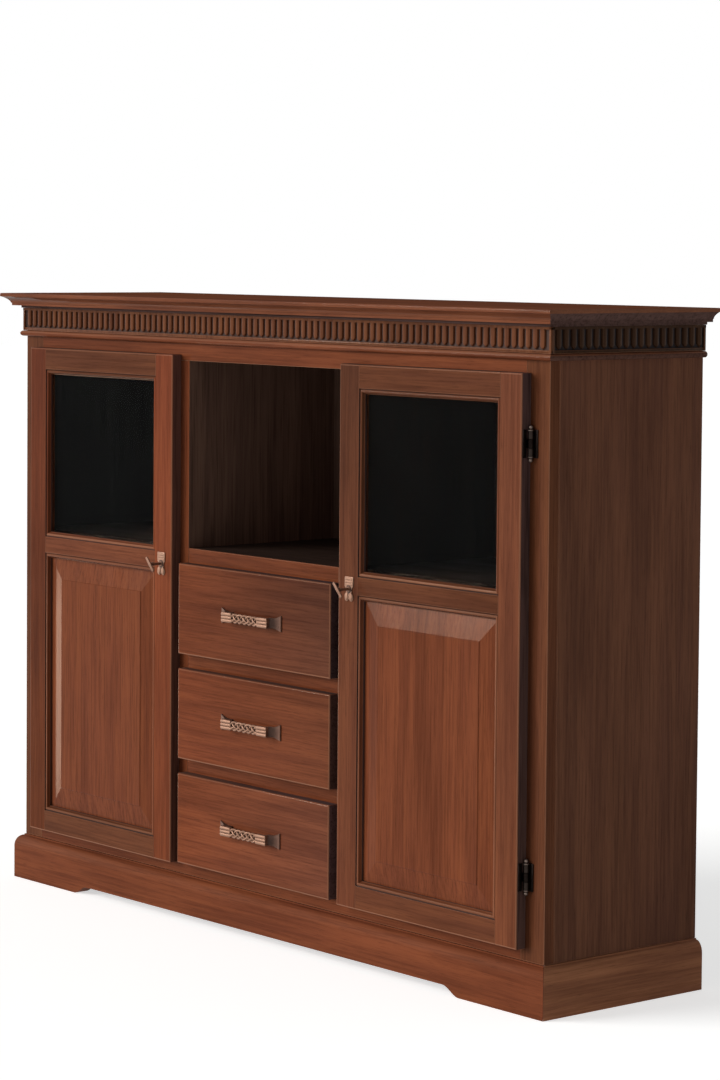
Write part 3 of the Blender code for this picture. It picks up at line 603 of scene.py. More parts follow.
# Top board: solid mahogany, moulded on the front and both ends with a rounded fascia, a shallow cove and
# a small fillet, on a narrow neck above the frieze. Screwed on from below through the carcase.
# The surface on top has lost its gloss by use and cleaning: the same wood, dull, and painted a little
# greyer as the sheen that a low view sees on it.
TOP_WOOD = stained_mahogany("worn_mahogany_top_painted_sheen", "#6C3C29", SHOW_LAYERS, "#A4735C", 0.45, (0.48, 0.64), 0.0)
low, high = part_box("top_board")
TOP_OUT = high.x - HALF_W
FASCIA_H = 0.0062
COVE_H = 0.0112
COVE_IN = 0.0142
QUIRK = 0.0012
NECK_H = 0.0042
NECK_OUT = FRIEZE_OUT + 0.0022
ROUND = 0.0022
line = [(NECK_OUT, low.z), (NECK_OUT, low.z + NECK_H), (TOP_OUT - COVE_IN - QUIRK, low.z + NECK_H)]
line.append((TOP_OUT - COVE_IN - QUIRK, high.z - FASCIA_H - COVE_H))
for k in range(13):
    t = k / 12
    rise = 0.45 * t + 0.55 * math.sqrt(1 - (1 - t) ** 2)
    line.append((TOP_OUT - COVE_IN + (COVE_IN - QUIRK) * t, high.z - FASCIA_H - COVE_H * (1 - rise)))
line.append((TOP_OUT, high.z - FASCIA_H))
for k in range(7):
    a = math.pi / 2 * k / 6
    line.append((TOP_OUT - ROUND * (1 - math.cos(a)), high.z - ROUND * (1 - math.sin(a))))
board = loft([around(out, z) for out, z in line])
darken(board, lambda face: face.normal.z > 0.9)
# The coves on the ends are cut in end grain. They and the neck all round are painted almost black as shade,
# and the fascia on the ends is painted paler as light
rub_and_highlight = board.faces.layers.float.new("rub_and_highlight")
for face in board.faces:
    z = face.calc_center_median().z
    if z < low.z + NECK_H or abs(face.normal.x) > 0.2 and z < high.z - FASCIA_H:
        face.material_index = 2
    elif abs(face.normal.x) > 0.5:
        face[rub_and_highlight] = 0.6
board = fit("top_board_wood", board, [MAHOGANY, TOP_WOOD, PAINTED_SHADE], "cabinet", ["top_board"])
lay_grain(board, "x", (1.06, 1.30, 1.65))

# Doors: frames of mahogany stiles and rails, coped together round a moulded inner edge.
# Glass stands in the upper rebate, held by pinned beads, and a raised panel floats in the lower one.
STICK_W = 0.009
LIP_BACK = 0.009
# (in from the flat, depth) of the moulded edge: a quirk, a small bead, then the lip over the rebate
STICKING = [(0.0, 0.0), (0.0004, 0.0), (0.0008, 0.0022), (0.0014, 0.0024)]
for k in range(9):
    a = math.pi * (1 - k / 8 * 0.80)
    STICKING.append((0.0042 + 0.0026 * math.cos(a), 0.0024 - 0.0018 * math.sin(a)))
STICKING += [(0.0072, 0.0034), (0.0080, 0.0050), (STICK_W, 0.0056), (STICK_W, LIP_BACK), (0.0, LIP_BACK)]
# The quirk and the inside of the lip are painted dark as shade. The crown of the bead is painted paler as a
# highlight round the panel, and most on the sill below the glass
QUIRK_SHADE = (1, 2, 15)
CROWN = (6, 7, 8, 9, 10)
PANEL_CROWN_HIGHLIGHT = 0.5
SILL_CROWN_HIGHLIGHT = 1.0
# Rounding of the arrises round the faces of doors and drawers, and the crease that keeps the flats flat
ARRIS = 0.0024
ARRIS_STEPS = 4
FLAT_CREASE = 10
TONGUE_T = 0.006
BEVEL = 0.036
BEVEL_CREASE = 3
# Stiles have the even tone and rails the duller one, apart from these, which are partly the boards' own
# tone and partly painted light and shade. Two tones run from the lower or left end of the board to the
# other, as painted light and shade along it
DOOR_TONES = {
    "left_door_hinge_stile": ((0.70, 0.70, 0.68), (0.78, 0.76, 0.92)),
    "left_door_lock_stile": ((1.16, 1.12, 1.14), (1.22, 1.16, 1.28)),
    "right_door_lock_stile": ((1.02, 1.20, 1.46), (0.55, 0.72, 0.98)),
    "right_door_hinge_stile": ((1.04, 1.24, 1.52), (0.90, 1.10, 1.50)),
    "left_door_mid_rail": ((0.94, 1.10, 1.38),),
    "right_door_bottom_rail": ((0.86, 1.06, 1.28),),
}


def mitred(xs, zs, face_y, edge, profile, shade_faces=(), crown=(), wear_and_highlight=0.0):
    # One side of a moulded frame round an opening, mitred at both ends
    x0, x1 = xs
    z0, z1 = zs
    near = []
    far = []
    for across, depth in profile:
        back = STICK_W - across
        y = face_y + depth
        if edge in ("left", "right"):
            x = x0 - back if edge == "left" else x1 + back
            near.append((x, y, z0 - back))
            far.append((x, y, z1 + back))
        else:
            z = z0 - back if edge == "low" else z1 + back
            near.append((x0 - back, y, z))
            far.append((x1 + back, y, z))
    bm = loft([near, far])
    bm.faces.ensure_lookup_table()
    for i in shade_faces:
        bm.faces[i].material_index = 1
    rub_and_highlight = bm.faces.layers.float.new("rub_and_highlight")
    for i in crown:
        bm.faces[i][rub_and_highlight] = wear_and_highlight
    return bm


for side, s in (("left", -1), ("right", 1)):
    door = side + "_door"
    part = {}
    for member in ("hinge_stile", "lock_stile", "top_rail", "mid_rail", "bottom_rail", "glass", "panel"):
        part[member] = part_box(door + "_" + member)
    face_y = part["hinge_stile"][0].y
    back_y = part["hinge_stile"][1].y
    first, last = ("hinge_stile", "lock_stile") if s < 0 else ("lock_stile", "hinge_stile")
    open_x = (part[first][1].x, part[last][0].x)
    door_x = (part[first][0].x, part[last][1].x)
    door_z = (part[first][0].z, part[first][1].z)
    glass_z = (part["mid_rail"][1].z, part["top_rail"][0].z)
    panel_z = (part["bottom_rail"][1].z, part["mid_rail"][0].z)

    def outer(p):
        # The arrises round the outside of the door's face
        at_rim = min(abs(p.x - door_x[0]), abs(p.x - door_x[1]), abs(p.z - door_z[0]), abs(p.z - door_z[1]))
        return at_rim < 0.0001 and p.y < face_y + 0.0001

    # Stiles run the full height; each carries the moulded edge of both openings
    for member, edge in ((first, "left"), (last, "right")):
        rim_x = door_x[0] if edge == "left" else door_x[1]
        inner_x = open_x[0] - STICK_W if edge == "left" else open_x[1] + STICK_W
        bar = block(sorted((rim_x, inner_x)), (face_y, back_y), door_z)
        ease(ease(bar, ARRIS, ARRIS_STEPS, outer), 0.0005)
        # The outer edge and the ends of the stile are painted almost black as shade
        darken(bar, lambda f: abs(f.normal.x) > 0.95 and abs(f.calc_center_median().x - rim_x) < 0.001)
        darken(bar, lambda f: abs(f.normal.z) > 0.95)
        shapes = [bar]
        for zs, wear_and_highlight in ((glass_z, 0.0), (panel_z, PANEL_CROWN_HIGHLIGHT)):
            shapes.append(mitred(open_x, zs, face_y, edge, STICKING, QUIRK_SHADE, CROWN, wear_and_highlight))
        name = door + "_" + member
        stile = together(*shapes)
        stile = fit(name + "_wood", stile, [MAHOGANY, PAINTED_SHADE], door, [name], FLAT_CREASE)
        lay_grain(stile, "z", *DOOR_TONES.get(name, (EVEN,)))

    # Rails between the stiles, a hair short so that the joint shows as a fine line
    bar_x = (open_x[0] - STICK_W + GLUE, open_x[1] + STICK_W - GLUE)
    for member, zs, edges in (
        ("top_rail", (glass_z[1] + STICK_W, door_z[1]), (("high", glass_z, 0.0),)),
        (
            "mid_rail",
            (panel_z[1] + STICK_W, glass_z[0] - STICK_W),
            (("high", panel_z, PANEL_CROWN_HIGHLIGHT), ("low", glass_z, SILL_CROWN_HIGHLIGHT)),
        ),
        ("bottom_rail", (door_z[0], panel_z[0] - STICK_W), (("low", panel_z, PANEL_CROWN_HIGHLIGHT),)),
    ):
        bar = block(bar_x, (face_y, back_y), zs)
        ease(ease(bar, ARRIS, ARRIS_STEPS, outer), 0.0005)
        # The upper and lower faces of the rail are painted almost black as shade
        darken(bar, lambda f: abs(f.normal.z) > 0.95)
        shapes = [bar]
        for edge, opening, wear_and_highlight in edges:
            shapes.append(mitred(open_x, opening, face_y, edge, STICKING, QUIRK_SHADE, CROWN, wear_and_highlight))
        name = door + "_" + member
        rail = together(*shapes)
        rail = fit(name + "_wood", rail, [MAHOGANY, PAINTED_SHADE], door, [name], FLAT_CREASE)
        lay_grain(rail, "x", *DOOR_TONES.get(name, (DULLER,)))

    # Raised panel: a tongue in the rebate, a flat bevel, a small step and the field
    low, high = part["panel"]
    tongue = open_x[0] - low.x
    seat = high.y - TONGUE_T
    sections = [(0.0, high.y), (0.0, seat), (tongue, seat)]
    sections += [(tongue + BEVEL, low.y + 0.0011), (tongue + BEVEL + 0.0005, low.y + 0.0004)]
    sections.append((tongue + BEVEL + 0.0013, low.y))
    rings = []
    for inset, y in sections:
        x0 = low.x + inset
        x1 = high.x - inset
        z0 = low.z + inset
        z1 = high.z - inset
        rings.append([(x0, y, z0), (x1, y, z0), (x1, y, z1), (x0, y, z1)])
    name = door + "_panel"
    panel = fit(name + "_wood", loft(rings), [MAHOGANY], door, [name], BEVEL_CREASE)
    lay_grain(panel, "z")

    # Glazing beads behind the pane: thin strips, mitred and pinned to the door from inside
    low, high = part["glass"]
    bead = [(0.0006, 0.0), (0.0062, 0.0), (0.0060, 0.0014)]
    bead += [(0.0048, 0.0034), (0.0026, 0.0046), (0.0006, 0.0048)]
    shapes = []
    for edge in ("left", "right", "low", "high"):
        shapes.append(mitred(open_x, glass_z, high.y + GLUE, edge, bead))
    beads = fit(door + "_glazing_beads", together(*shapes), [MAHOGANY], door)
    lay_grain(beads, "z")

# Glass: drawn window glass about 4 mm thick with its edges ground smooth. It is clear and a little
# wavy, with a faint film of dust. The room it mirrors is dark, so it reflects little: its IOR is set low,
# and the faint pale haze of the dust film is partly painted reflection.
GLASS = bpy.data.materials.new("drawn_window_glass")
GLASS.use_nodes = True
tree = GLASS.node_tree
shader = tree.nodes["Principled BSDF"]
place = put(tree, "ShaderNodeTexCoord", {})["Object"]
# Dust lies in patches of about 70 mm
dust_and_reflection_film = put(tree, "ShaderNodeTexNoise", {"Vector": place, "Scale": 14.0, "Detail": 5.0})[0]
limits = {"Value": dust_and_reflection_film, "From Min": 0.45, "From Max": 0.80, "To Min": 0.0, "To Max": 0.015}
tree.links.new(put(tree, "ShaderNodeMapRange", limits)[0], shader.inputs["Roughness"])
limits = {0: dust_and_reflection_film, 6: linear("#F4F7F5"), 7: linear("#E6ECE8")}
tint = put(tree, "ShaderNodeMix", limits, data_type="RGBA")[2]
tree.links.new(tint, shader.inputs["Base Color"])
# Draw waves run upright, about 70 mm apart
wave = put(tree, "ShaderNodeMapping", {"Vector": place, "Scale": (14.0, 14.0, 2.5)})[0]
wave = put(tree, "ShaderNodeTexNoise", {"Vector": wave, "Scale": 1.0, "Detail": 1.0})[0]
relief = {"Height": wave, "Strength": 0.02, "Distance": 0.002}
tree.links.new(put(tree, "ShaderNodeBump", relief)[0], shader.inputs["Normal"])
# Where the film lies the glass lets a little less through and shows a pale haze: dust, and painted
# reflection
limits = {"Value": dust_and_reflection_film, "From Min": 0.30, "From Max": 0.75, "To Min": 0.9990, "To Max": 0.9970}
tree.links.new(put(tree, "ShaderNodeMapRange", limits)[0], shader.inputs["Transmission Weight"])
shader.inputs["IOR"].default_value = 1.035
for side in ("left", "right"):
    door = side + "_door"
    pane = ease(as_sawn(door + "_glass"), 0.0006)
    fit(door + "_glass_pane", pane, [GLASS], door, [door + "_glass"])

# Hinges: cast bronze with ball ends, browned almost black. The fixed leaf with the pin is screwed
# to the face of the corner stile, the moving leaf to the edge of the door.
BRONZE = cast_metal("browned_bronze", "#1E1815", "#120D0C", "#6E6058", 0.85, 8, (0.34, 0.52))
KNUCKLE_R = 0.0045
HINGE_HALF = 0.021
THIRD = 0.007
BALL_R = 0.0034
FINIAL_H = 0.0065
LEAF_REACH = 0.0105
LEAF_T = 0.0015
AXIS_OUT = 0.0055
SCREW_AT = 0.0077
SCREW_STEP = 0.014
CAST_R = 0.0004


def soften(bm):
    # Rounds every edge of a cast plate a little
    bmesh.ops.bevel(bm, geom=list(bm.edges), offset=CAST_R, segments=2, affect="EDGES", profile=0.5)
    return bm


def slotted_screw(radius):
    # A screw head that faces the front: a rim, and two half discs with the slot between them
    rim = [(0.0001, 0.0), (radius, 0.0), (radius * 0.96, -0.0002), (0.0001, -0.0002)]
    shapes = [turned(rim, (0, 0, 0), "y", 14)]
    for half in (-1, 1):
        ring = []
        for k in range(9):
            a = math.pi * (0.06 + 0.88 * k / 8)
            ring.append((radius * 0.94 * math.cos(a), half * radius * 0.94 * math.sin(a)))
        inner = [(x, 0.0, z) for x, z in ring]
        shapes.append(loft([inner, [(x * 0.9, -0.0005, z * 0.94) for x, z in ring]]))
    return together(*shapes)


# Half of the fixed knuckle from its ball down: neck, two turned rings, then the barrel
KNUCKLE = [(0.0001, HINGE_HALF + FINIAL_H)]
for k in range(1, 9):
    a = math.pi / 2 - math.pi * 0.82 * k / 8
    KNUCKLE.append((BALL_R * math.cos(a), HINGE_HALF + FINIAL_H / 2 + FINIAL_H / 2 * math.sin(a)))
for radius, below in (
    (0.0022, -0.0002),
    (KNUCKLE_R - 0.0005, 0.0),
    (KNUCKLE_R, 0.0005),
    (KNUCKLE_R, 0.0018),
    (KNUCKLE_R - 0.0008, 0.0022),
    (KNUCKLE_R - 0.0008, 0.0027),
    (KNUCKLE_R - 0.0001, 0.0031),
    (KNUCKLE_R - 0.0001, 0.0134),
    (KNUCKLE_R - 0.0006, 0.0140),
    (0.0018, 0.0140),
):
    KNUCKLE.append((radius, HINGE_HALF - below))
TUBE = [(0.0021, THIRD - 0.0003), (KNUCKLE_R - 0.0005, THIRD - 0.0003), (KNUCKLE_R, THIRD - 0.0008)]

for side, s in (("left", -1), ("right", 1)):
    door = side + "_door"
    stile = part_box(door + "_hinge_stile")
    edge_x = stile[1].x if s > 0 else stile[0].x
    axis_x = edge_x + s * AXIS_OUT
    axis_y = FRAME_Y - AXIS_OUT
    for level in ("upper", "lower"):
        fixed = "hinge_" + side + "_" + level + "_fixed_leaf"
        moving = door + "_hinge_" + level
        low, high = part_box(moving)
        mid = (low.z + high.z) / 2
        span = (mid - HINGE_HALF, mid + HINGE_HALF)

        # Fixed half: pin with a turned ball at each end, and the leaf on the stile
        pin = turned(KNUCKLE + [(r, -z) for r, z in KNUCKLE[::-1]], (axis_x, axis_y, mid), "z", 20)
        # Balls and end rings are painted palest, partly as wear and partly as highlight
        rub_and_highlight = pin.faces.layers.float.new("rub_and_highlight")
        for face in pin.faces:
            wear_and_highlight = abs(face.calc_center_median().z - mid) > HINGE_HALF - 0.0019
            face[rub_and_highlight] = 1.0 if wear_and_highlight else 0.15
        leaf_x = sorted((axis_x + s * 0.003, axis_x + s * LEAF_REACH))
        leaf = soften(block(leaf_x, (FRAME_Y - GLUE - LEAF_T, FRAME_Y - GLUE), span))
        sizes = {"Count": 3, "Step": (0.0, 0.0, SCREW_STEP), "Finish": BRONZE}
        sizes["First place"] = (axis_x + s * SCREW_AT, FRAME_Y - GLUE - LEAF_T, mid - SCREW_STEP)
        screws = grown(ROW, slotted_screw(0.0017), sizes)
        shapes = together(pin, leaf, screws)
        fit(fixed + "_casting", shapes, [BRONZE], "cabinet", [fixed], CREASE)

        # Moving half: the middle knuckle and the leaf screwed to the door's edge
        knuckle = turned(TUBE + [(r, -z) for r, z in TUBE[::-1]], (axis_x, axis_y, mid), "z", 20)
        plate_x = sorted((edge_x + s * GLUE, edge_x + s * (GLUE + LEAF_T)))
        plate_y = (low.y, axis_y - KNUCKLE_R - 0.0005)
        plate = soften(block(plate_x, plate_y, span))
        tab = block(plate_x, (plate_y[1] - LEAF_T, axis_y), (mid - THIRD + 0.0006, mid + THIRD - 0.0006))
        head = slotted_screw(0.0019)
        bmesh.ops.rotate(head, verts=head.verts, matrix=Matrix.Rotation(s * math.pi / 2, 3, "Z"))
        sizes["First place"] = (edge_x + s * (GLUE + LEAF_T), (low.y + plate_y[1]) / 2, mid - SCREW_STEP)
        screws = grown(ROW, head, sizes)
        shapes = together(knuckle, plate, tab, screws)
        fit(moving + "_casting", shapes, [BRONZE], door, [moving], CREASE)

# Locks: a cast and copper-plated escutcheon pinned to the lock stile, and a case screwed on behind it.
# The bolt slides in the case and is thrown by the key, which turns in the barrel.
# Copper plate, rubbed over a brown patina: pale pink-brown on what stands proud, brown in the hollows
COPPER = cast_metal("rubbed_copper_plate", "#795440", "#54392B", "#936E58", 0.8, 7, (0.46, 0.60), 0.6)
# Where hands don't reach it the patina stays: dark brown ground of the castings. The same dark brown is
# painted as shade round and in the keyhole and on the handles' feet near the bar
BROWNED_AND_SHADE = cast_metal("browned_copper_plate_and_shade", "#4A3329", "#32221B", "#6B4A3A", 0.5, 7, (0.50, 0.65), 0.6)
PLATE_W = 0.021
PLATE_H = 0.039
PLATE_T = 0.0015
CASE_W = 0.033
LOCK_IN = 0.0275


def oval(sides, power):
    # Points round a unit circle, drawn out towards a square as the power falls
    points = []
    for k in range(sides):
        a = 2 * math.pi * k / sides
        u = math.copysign(abs(math.cos(a)) ** power, math.cos(a))
        v = math.copysign(abs(math.sin(a)) ** power, math.sin(a))
        points.append((u, v))
    return points


def boss(x, z, face_y, half_w, half_h, rise, square):
    # A cushion of cast metal on the plate, round or nearly square in outline
    rings = []
    for share, height in ((1.0, 0.0), (0.97, 0.45), (0.85, 0.80), (0.60, 0.96), (0.04, 1.0)):
        ring = []
        for u, v in oval(16, 2 / square):
            ring.append((x + half_w * share * u, face_y - rise * height, z + half_h * share * v))
        rings.append(ring)
    return rubbed_on_top(loft(rings))


def rubbed_on_top(bm):
    # What faces the front most is rubbed bright
    bm.normal_update()
    rub_and_highlight = bm.faces.layers.float.get("rub_and_highlight") or bm.faces.layers.float.new("rub_and_highlight")
    for face in bm.faces:
        face[rub_and_highlight] = max(0.0, -face.normal.y) ** 2
    return bm


def escutcheon(x, z, face_y):
    # A square upper plate with nipped corners, a waist and two round lobes below
    w = PLATE_W / 2
    h = PLATE_H / 2
    edge = [(0.0, h), (w * 0.90, h), (w, h * 0.95), (w, h * 0.20), (w * 0.78, h * 0.10)]
    edge += [(w * 0.60, -h * 0.10), (w * 0.66, -h * 0.28)]
    for k in range(9):
        a = math.radians(70 - 200 * k / 8)
        edge.append((w * (0.52 + 0.48 * math.cos(a)), -h * (0.66 - 0.34 * math.sin(a))))
    edge.append((0.0, -h * 0.80))
    line = edge + [(-u, v) for u, v in edge[-2:0:-1]]
    bm = bmesh.new()
    bm.faces.new([bm.verts.new((x + u, face_y - PLATE_T, z + v)) for u, v in line])
    back = bmesh.ops.extrude_face_region(bm, geom=list(bm.faces))
    moved = [v for v in back["geom"] if isinstance(v, bmesh.types.BMVert)]
    bmesh.ops.translate(bm, verts=moved, vec=(0, PLATE_T - GLUE, 0))
    bmesh.ops.recalc_face_normals(bm, faces=bm.faces)
    shapes = [rubbed_on_top(ease(bm, 0.0005, 2))]
    # Three reeds across the upper plate, a cushion on each lobe and a collar round the keyhole. A dark ring
    # round the keyhole is painted as the key's shadow, and a dark slot below it is painted as the keyhole's
    # shade
    front = face_y - PLATE_T
    for up in (0.82, 0.60, 0.38):
        shapes.append(boss(x, z + h * up, front, w * 0.90, 0.0020, 0.0007, 9))
    for across in (-0.50, 0.50):
        shapes.append(boss(x + w * across, z - h * 0.60, front, w * 0.40, h * 0.32, 0.0013, 2))
    collar = [(0.0027, 0.0002), (0.0044, 0.0002), (0.0044, -0.0007), (0.0038, -0.0012), (0.0027, -0.0012)]
    shapes.append(turned(collar, (x, front, z), "y", 20))
    painted_key_shadow = [(0.0027, 0.0003), (0.0068, 0.0003), (0.0064, -0.0001), (0.0027, -0.0001)]
    shapes.append(darken(turned(painted_key_shadow, (x, front, z), "y", 24)))
    slot = block((x - 0.0011, x + 0.0011), (front - 0.0002, front + 0.0004), (z - 0.0085, z - 0.0030))
    shapes.append(darken(slot))
    return together(*shapes)


GRIP_TILT = math.radians(42)
GRIP_L = 0.030
GRIP_D = 0.0036
GRIP_T = 0.0062
KEY_R = 0.0023


def key_bar(x, y, z):
    # A bar with a flat oval section and rounded ends that swells a little to the middle and leans over
    up = Vector((-math.sin(GRIP_TILT), 0.0, math.cos(GRIP_TILT)))
    out = Vector((math.cos(GRIP_TILT), 0.0, math.sin(GRIP_TILT)))
    deep = Vector((0.0, 1.0, 0.0))
    rings = []
    for along, share in (
        (-1.0, 0.40),
        (-0.985, 0.66),
        (-0.95, 0.82),
        (-0.90, 0.88),
        (-0.30, 0.92),
        (-0.16, 1.0),
        (0.16, 1.0),
        (0.30, 0.92),
        (0.90, 0.88),
        (0.95, 0.82),
        (0.985, 0.66),
        (1.0, 0.40),
    ):
        ring = []
        for u, v in oval(16, 0.7):
            u *= share
            v *= share
            offset = up * GRIP_L / 2 * along + deep * GRIP_D / 2 * u + out * GRIP_T / 2 * v
            ring.append(Vector((x, y, z)) + offset)
        rings.append(ring)
    bm = loft(rings)
    rub_and_highlight = bm.faces.layers.float.new("rub_and_highlight")
    for face in bm.faces:
        face[rub_and_highlight] = 0.3
    return bm


PLAY = 0.0004
COVER_IN = 0.0012
SCREW_IN = 0.006


def sleeve(xs, outside, way):
    # The lock case with the bolt's way right through it, both given as y, y, z, z
    bm = bmesh.new()
    loops = []
    for x in xs:
        for y0, y1, z0, z1 in (outside, way):
            loops.append([bm.verts.new((x, y, z)) for y, z in ((y0, z0), (y1, z0), (y1, z1), (y0, z1))])
    for a, b in ((0, 1), (1, 3), (3, 2), (2, 0)):
        for k in range(4):
            n = (k + 1) % 4
            bm.faces.new((loops[a][k], loops[a][n], loops[b][n], loops[b][k]))
    bmesh.ops.recalc_face_normals(bm, faces=bm.faces)
    return bm


for side, s in (("left", -1), ("right", 1)):
    door = side + "_door"
    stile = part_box(door + "_lock_stile")
    face_y = stile[0].y
    lock_x = stile[0].x + LOCK_IN if s > 0 else stile[1].x - LOCK_IN
    low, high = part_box(door + "_key")
    lock_z = (low.z + high.z) / 2
    key_end = high.y

    # Shank with a ring below the bar, and the bar across its end
    bar_y = low.y + GRIP_D / 2
    shank = [(0.0002, bar_y), (KEY_R, bar_y), (KEY_R, bar_y + 0.0042), (0.0033, bar_y + 0.0046)]
    shank += [(0.0033, bar_y + 0.0060), (KEY_R, bar_y + 0.0064)]
    shank += [(KEY_R, key_end - 0.0008), (KEY_R - 0.0006, key_end), (0.0002, key_end)]
    key = together(turned(shank, (lock_x, 0.0, lock_z), "y", 18), key_bar(lock_x, bar_y, lock_z))
    fit(door + "_key_casting", key, [COPPER], side + "_key", [door + "_key"], CREASE)

    # Escutcheon and case, with a cover plate held by four screws
    low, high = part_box(door + "_lock")
    case_x = (low.x, low.x + CASE_W) if s > 0 else (high.x - CASE_W, high.x)
    bolt_low, bolt_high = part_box(door + "_bolt")
    outside = (stile[1].y + GLUE, high.y - 0.0008, low.z, high.z)
    way = (bolt_low.y - PLAY, bolt_high.y + PLAY, bolt_low.z - PLAY, bolt_high.z + PLAY)
    case = ease(sleeve(case_x, outside, way), 0.0008)
    cover_x = (case_x[0] + COVER_IN, case_x[1] - COVER_IN)
    cover = ease(block(cover_x, (high.y - 0.0010, high.y), (low.z + COVER_IN, high.z - COVER_IN)), 0.0003)
    shapes = [escutcheon(lock_x, lock_z, face_y), case, cover]
    head = slotted_screw(0.0021)
    bmesh.ops.rotate(head, verts=head.verts, matrix=Matrix.Rotation(math.pi, 3, "Z"))
    for z in (low.z + SCREW_IN, high.z - SCREW_IN):
        sizes = {"Count": 2, "Step": (CASE_W - 2 * SCREW_IN, 0.0, 0.0), "Finish": COPPER}
        sizes["First place"] = (case_x[0] + SCREW_IN, high.y - 0.0004, z)
        shapes.append(grown(ROW, head, sizes))
    lock = together(*shapes)
    finish = [COPPER, BROWNED_AND_SHADE]
    fit(door + "_lock_fitting", lock, finish, door, [door + "_lock"], CREASE)

    # Bolt: drawn bar with a rounded nose towards the middle stile
    low, high = bolt_low, bolt_high
    nose, tail = (low.x, high.x) if s > 0 else (high.x, low.x)
    rings = []
    for x, share in ((nose, 0.62), (nose + s * 0.0007, 0.86), (nose + s * 0.0020, 1.0), (tail, 1.0)):
        half_y = (high.y - low.y) / 2 * share
        half_z = (high.z - low.z) / 2 * share
        ring = []
        for v, w in oval(20, 0.3):
            ring.append((x, (low.y + high.y) / 2 + half_y * v, (low.z + high.z) / 2 + half_z * w))
        rings.append(ring)
    fit(door + "_bolt_bar", loft(rings), [STEEL], side + "_bolt", [door + "_bolt"], CREASE)

# Drawers: solid mahogany fronts with rounded arrises over open boxes of dark-stained mahogany.
# The boxes slide on the dust boards.
# Each front's tone runs from its left end to its right, as painted shade and sheen: the bottom one turns
# greyer, the middle one darker and the top one darker and greyer
FRONT_TONES = {
    "bottom": ((1.16, 1.15, 1.18), (1.00, 1.22, 1.72)),
    "middle": ((1.18, 1.16, 1.22), (0.86, 0.98, 1.18)),
    "top": ((0.92, 0.92, 0.96), (0.60, 0.78, 1.14)),
}
for level, (tone, far_tone) in FRONT_TONES.items():
    name = level + "_drawer"
    low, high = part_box(name + "_front")
    front = block((low.x, high.x), (low.y, high.y), (low.z, high.z))
    ease(front, ARRIS, ARRIS_STEPS, lambda p: p.y < low.y + 0.0001)
    ease(front, 0.0006)
    # The edges of the front are painted almost black as shade
    darken(front, lambda f: abs(f.normal.x) > 0.95 or abs(f.normal.z) > 0.95)
    finish = [MAHOGANY, PAINTED_SHADE]
    front = fit(name + "_front_wood", front, finish, name, [name + "_front"], FLAT_CREASE)
    lay_grain(front, "x", tone, far_tone)
    tray = ease(as_sawn(name + "_box"), 0.0010)
    tray = fit(name + "_box_wood", tray, [INSIDE], name, [name + "_box"])
    lay_grain(tray, "x")

# Handles: cast bars, copper-plated and rubbed. The middle is a braid of four strands over a dark ground,
# the ends are worked to three reeds, and a flared foot at each end is screwed on from inside the drawer.
sockets = {"Part": "Geometry", "Strands": "Int"}
for size in ("Length", "Wave", "Rise", "Sway", "Wire"):
    sockets[size] = "Float"
sockets["Finish"] = "Material"
BRAID = blank_tree("braid_of_strands", sockets)
given = put(BRAID, "NodeGroupInput", {})
# Points along one strand
POINTS = 72
far_x = put(BRAID, "ShaderNodeMath", {0: given["Length"], 1: 0.5}, operation="MULTIPLY")[0]
near_x = put(BRAID, "ShaderNodeMath", {0: far_x, 1: -1.0}, operation="MULTIPLY")[0]
near = put(BRAID, "ShaderNodeCombineXYZ", {"X": near_x})[0]
far = put(BRAID, "ShaderNodeCombineXYZ", {"X": far_x})[0]
wire = put(BRAID, "GeometryNodeCurvePrimitiveLine", {"Start": near, "End": far})[0]
wire = put(BRAID, "GeometryNodeResampleCurve", {"Curve": wire, "Count": POINTS})[0]
spots = put(BRAID, "GeometryNodeMeshLine", {"Count": given["Strands"], "Offset": (0.0, 0.0, 0.0)})[0]
wires = put(BRAID, "GeometryNodeInstanceOnPoints", {"Points": spots, "Instance": wire})[0]
wires = put(BRAID, "GeometryNodeRealizeInstances", {"Geometry": wires})[0]
# Each strand swings up and down a quarter wave behind the last, and weaves over and under three times
index = put(BRAID, "GeometryNodeInputIndex", {})[0]
strand = put(BRAID, "ShaderNodeMath", {0: index, 1: POINTS}, operation="DIVIDE")[0]
strand = put(BRAID, "ShaderNodeMath", {0: strand}, operation="FLOOR")[0]
lag = put(BRAID, "ShaderNodeMath", {0: strand, 1: given["Strands"]}, operation="DIVIDE")[0]
place = put(BRAID, "GeometryNodeInputPosition", {})[0]
along = put(BRAID, "ShaderNodeSeparateXYZ", {0: place})[0]
turns = put(BRAID, "ShaderNodeMath", {0: along, 1: given["Wave"]}, operation="DIVIDE")[0]
turns = put(BRAID, "ShaderNodeMath", {0: turns, 1: lag}, operation="ADD")[0]
angle = put(BRAID, "ShaderNodeMath", {0: turns, 1: 2 * math.pi}, operation="MULTIPLY")[0]
swing = put(BRAID, "ShaderNodeMath", {0: angle}, operation="SINE")[0]
swing = put(BRAID, "ShaderNodeMath", {0: swing, 1: given["Rise"]}, operation="MULTIPLY")[0]
weave = put(BRAID, "ShaderNodeMath", {0: angle, 1: 3.0}, operation="MULTIPLY")[0]
weave = put(BRAID, "ShaderNodeMath", {0: weave}, operation="COSINE")[0]
weave = put(BRAID, "ShaderNodeMath", {0: weave, 1: given["Sway"]}, operation="MULTIPLY")[0]
shift = put(BRAID, "ShaderNodeCombineXYZ", {"Y": weave, "Z": swing})[0]
wires = put(BRAID, "GeometryNodeSetPosition", {"Geometry": wires, "Offset": shift})[0]
section = put(BRAID, "GeometryNodeCurvePrimitiveCircle", {"Resolution": 8, "Radius": given["Wire"]})[0]
tubes = {"Curve": wires, "Profile Curve": section, "Fill Caps": True}
tubes = put(BRAID, "GeometryNodeCurveToMesh", tubes)[0]
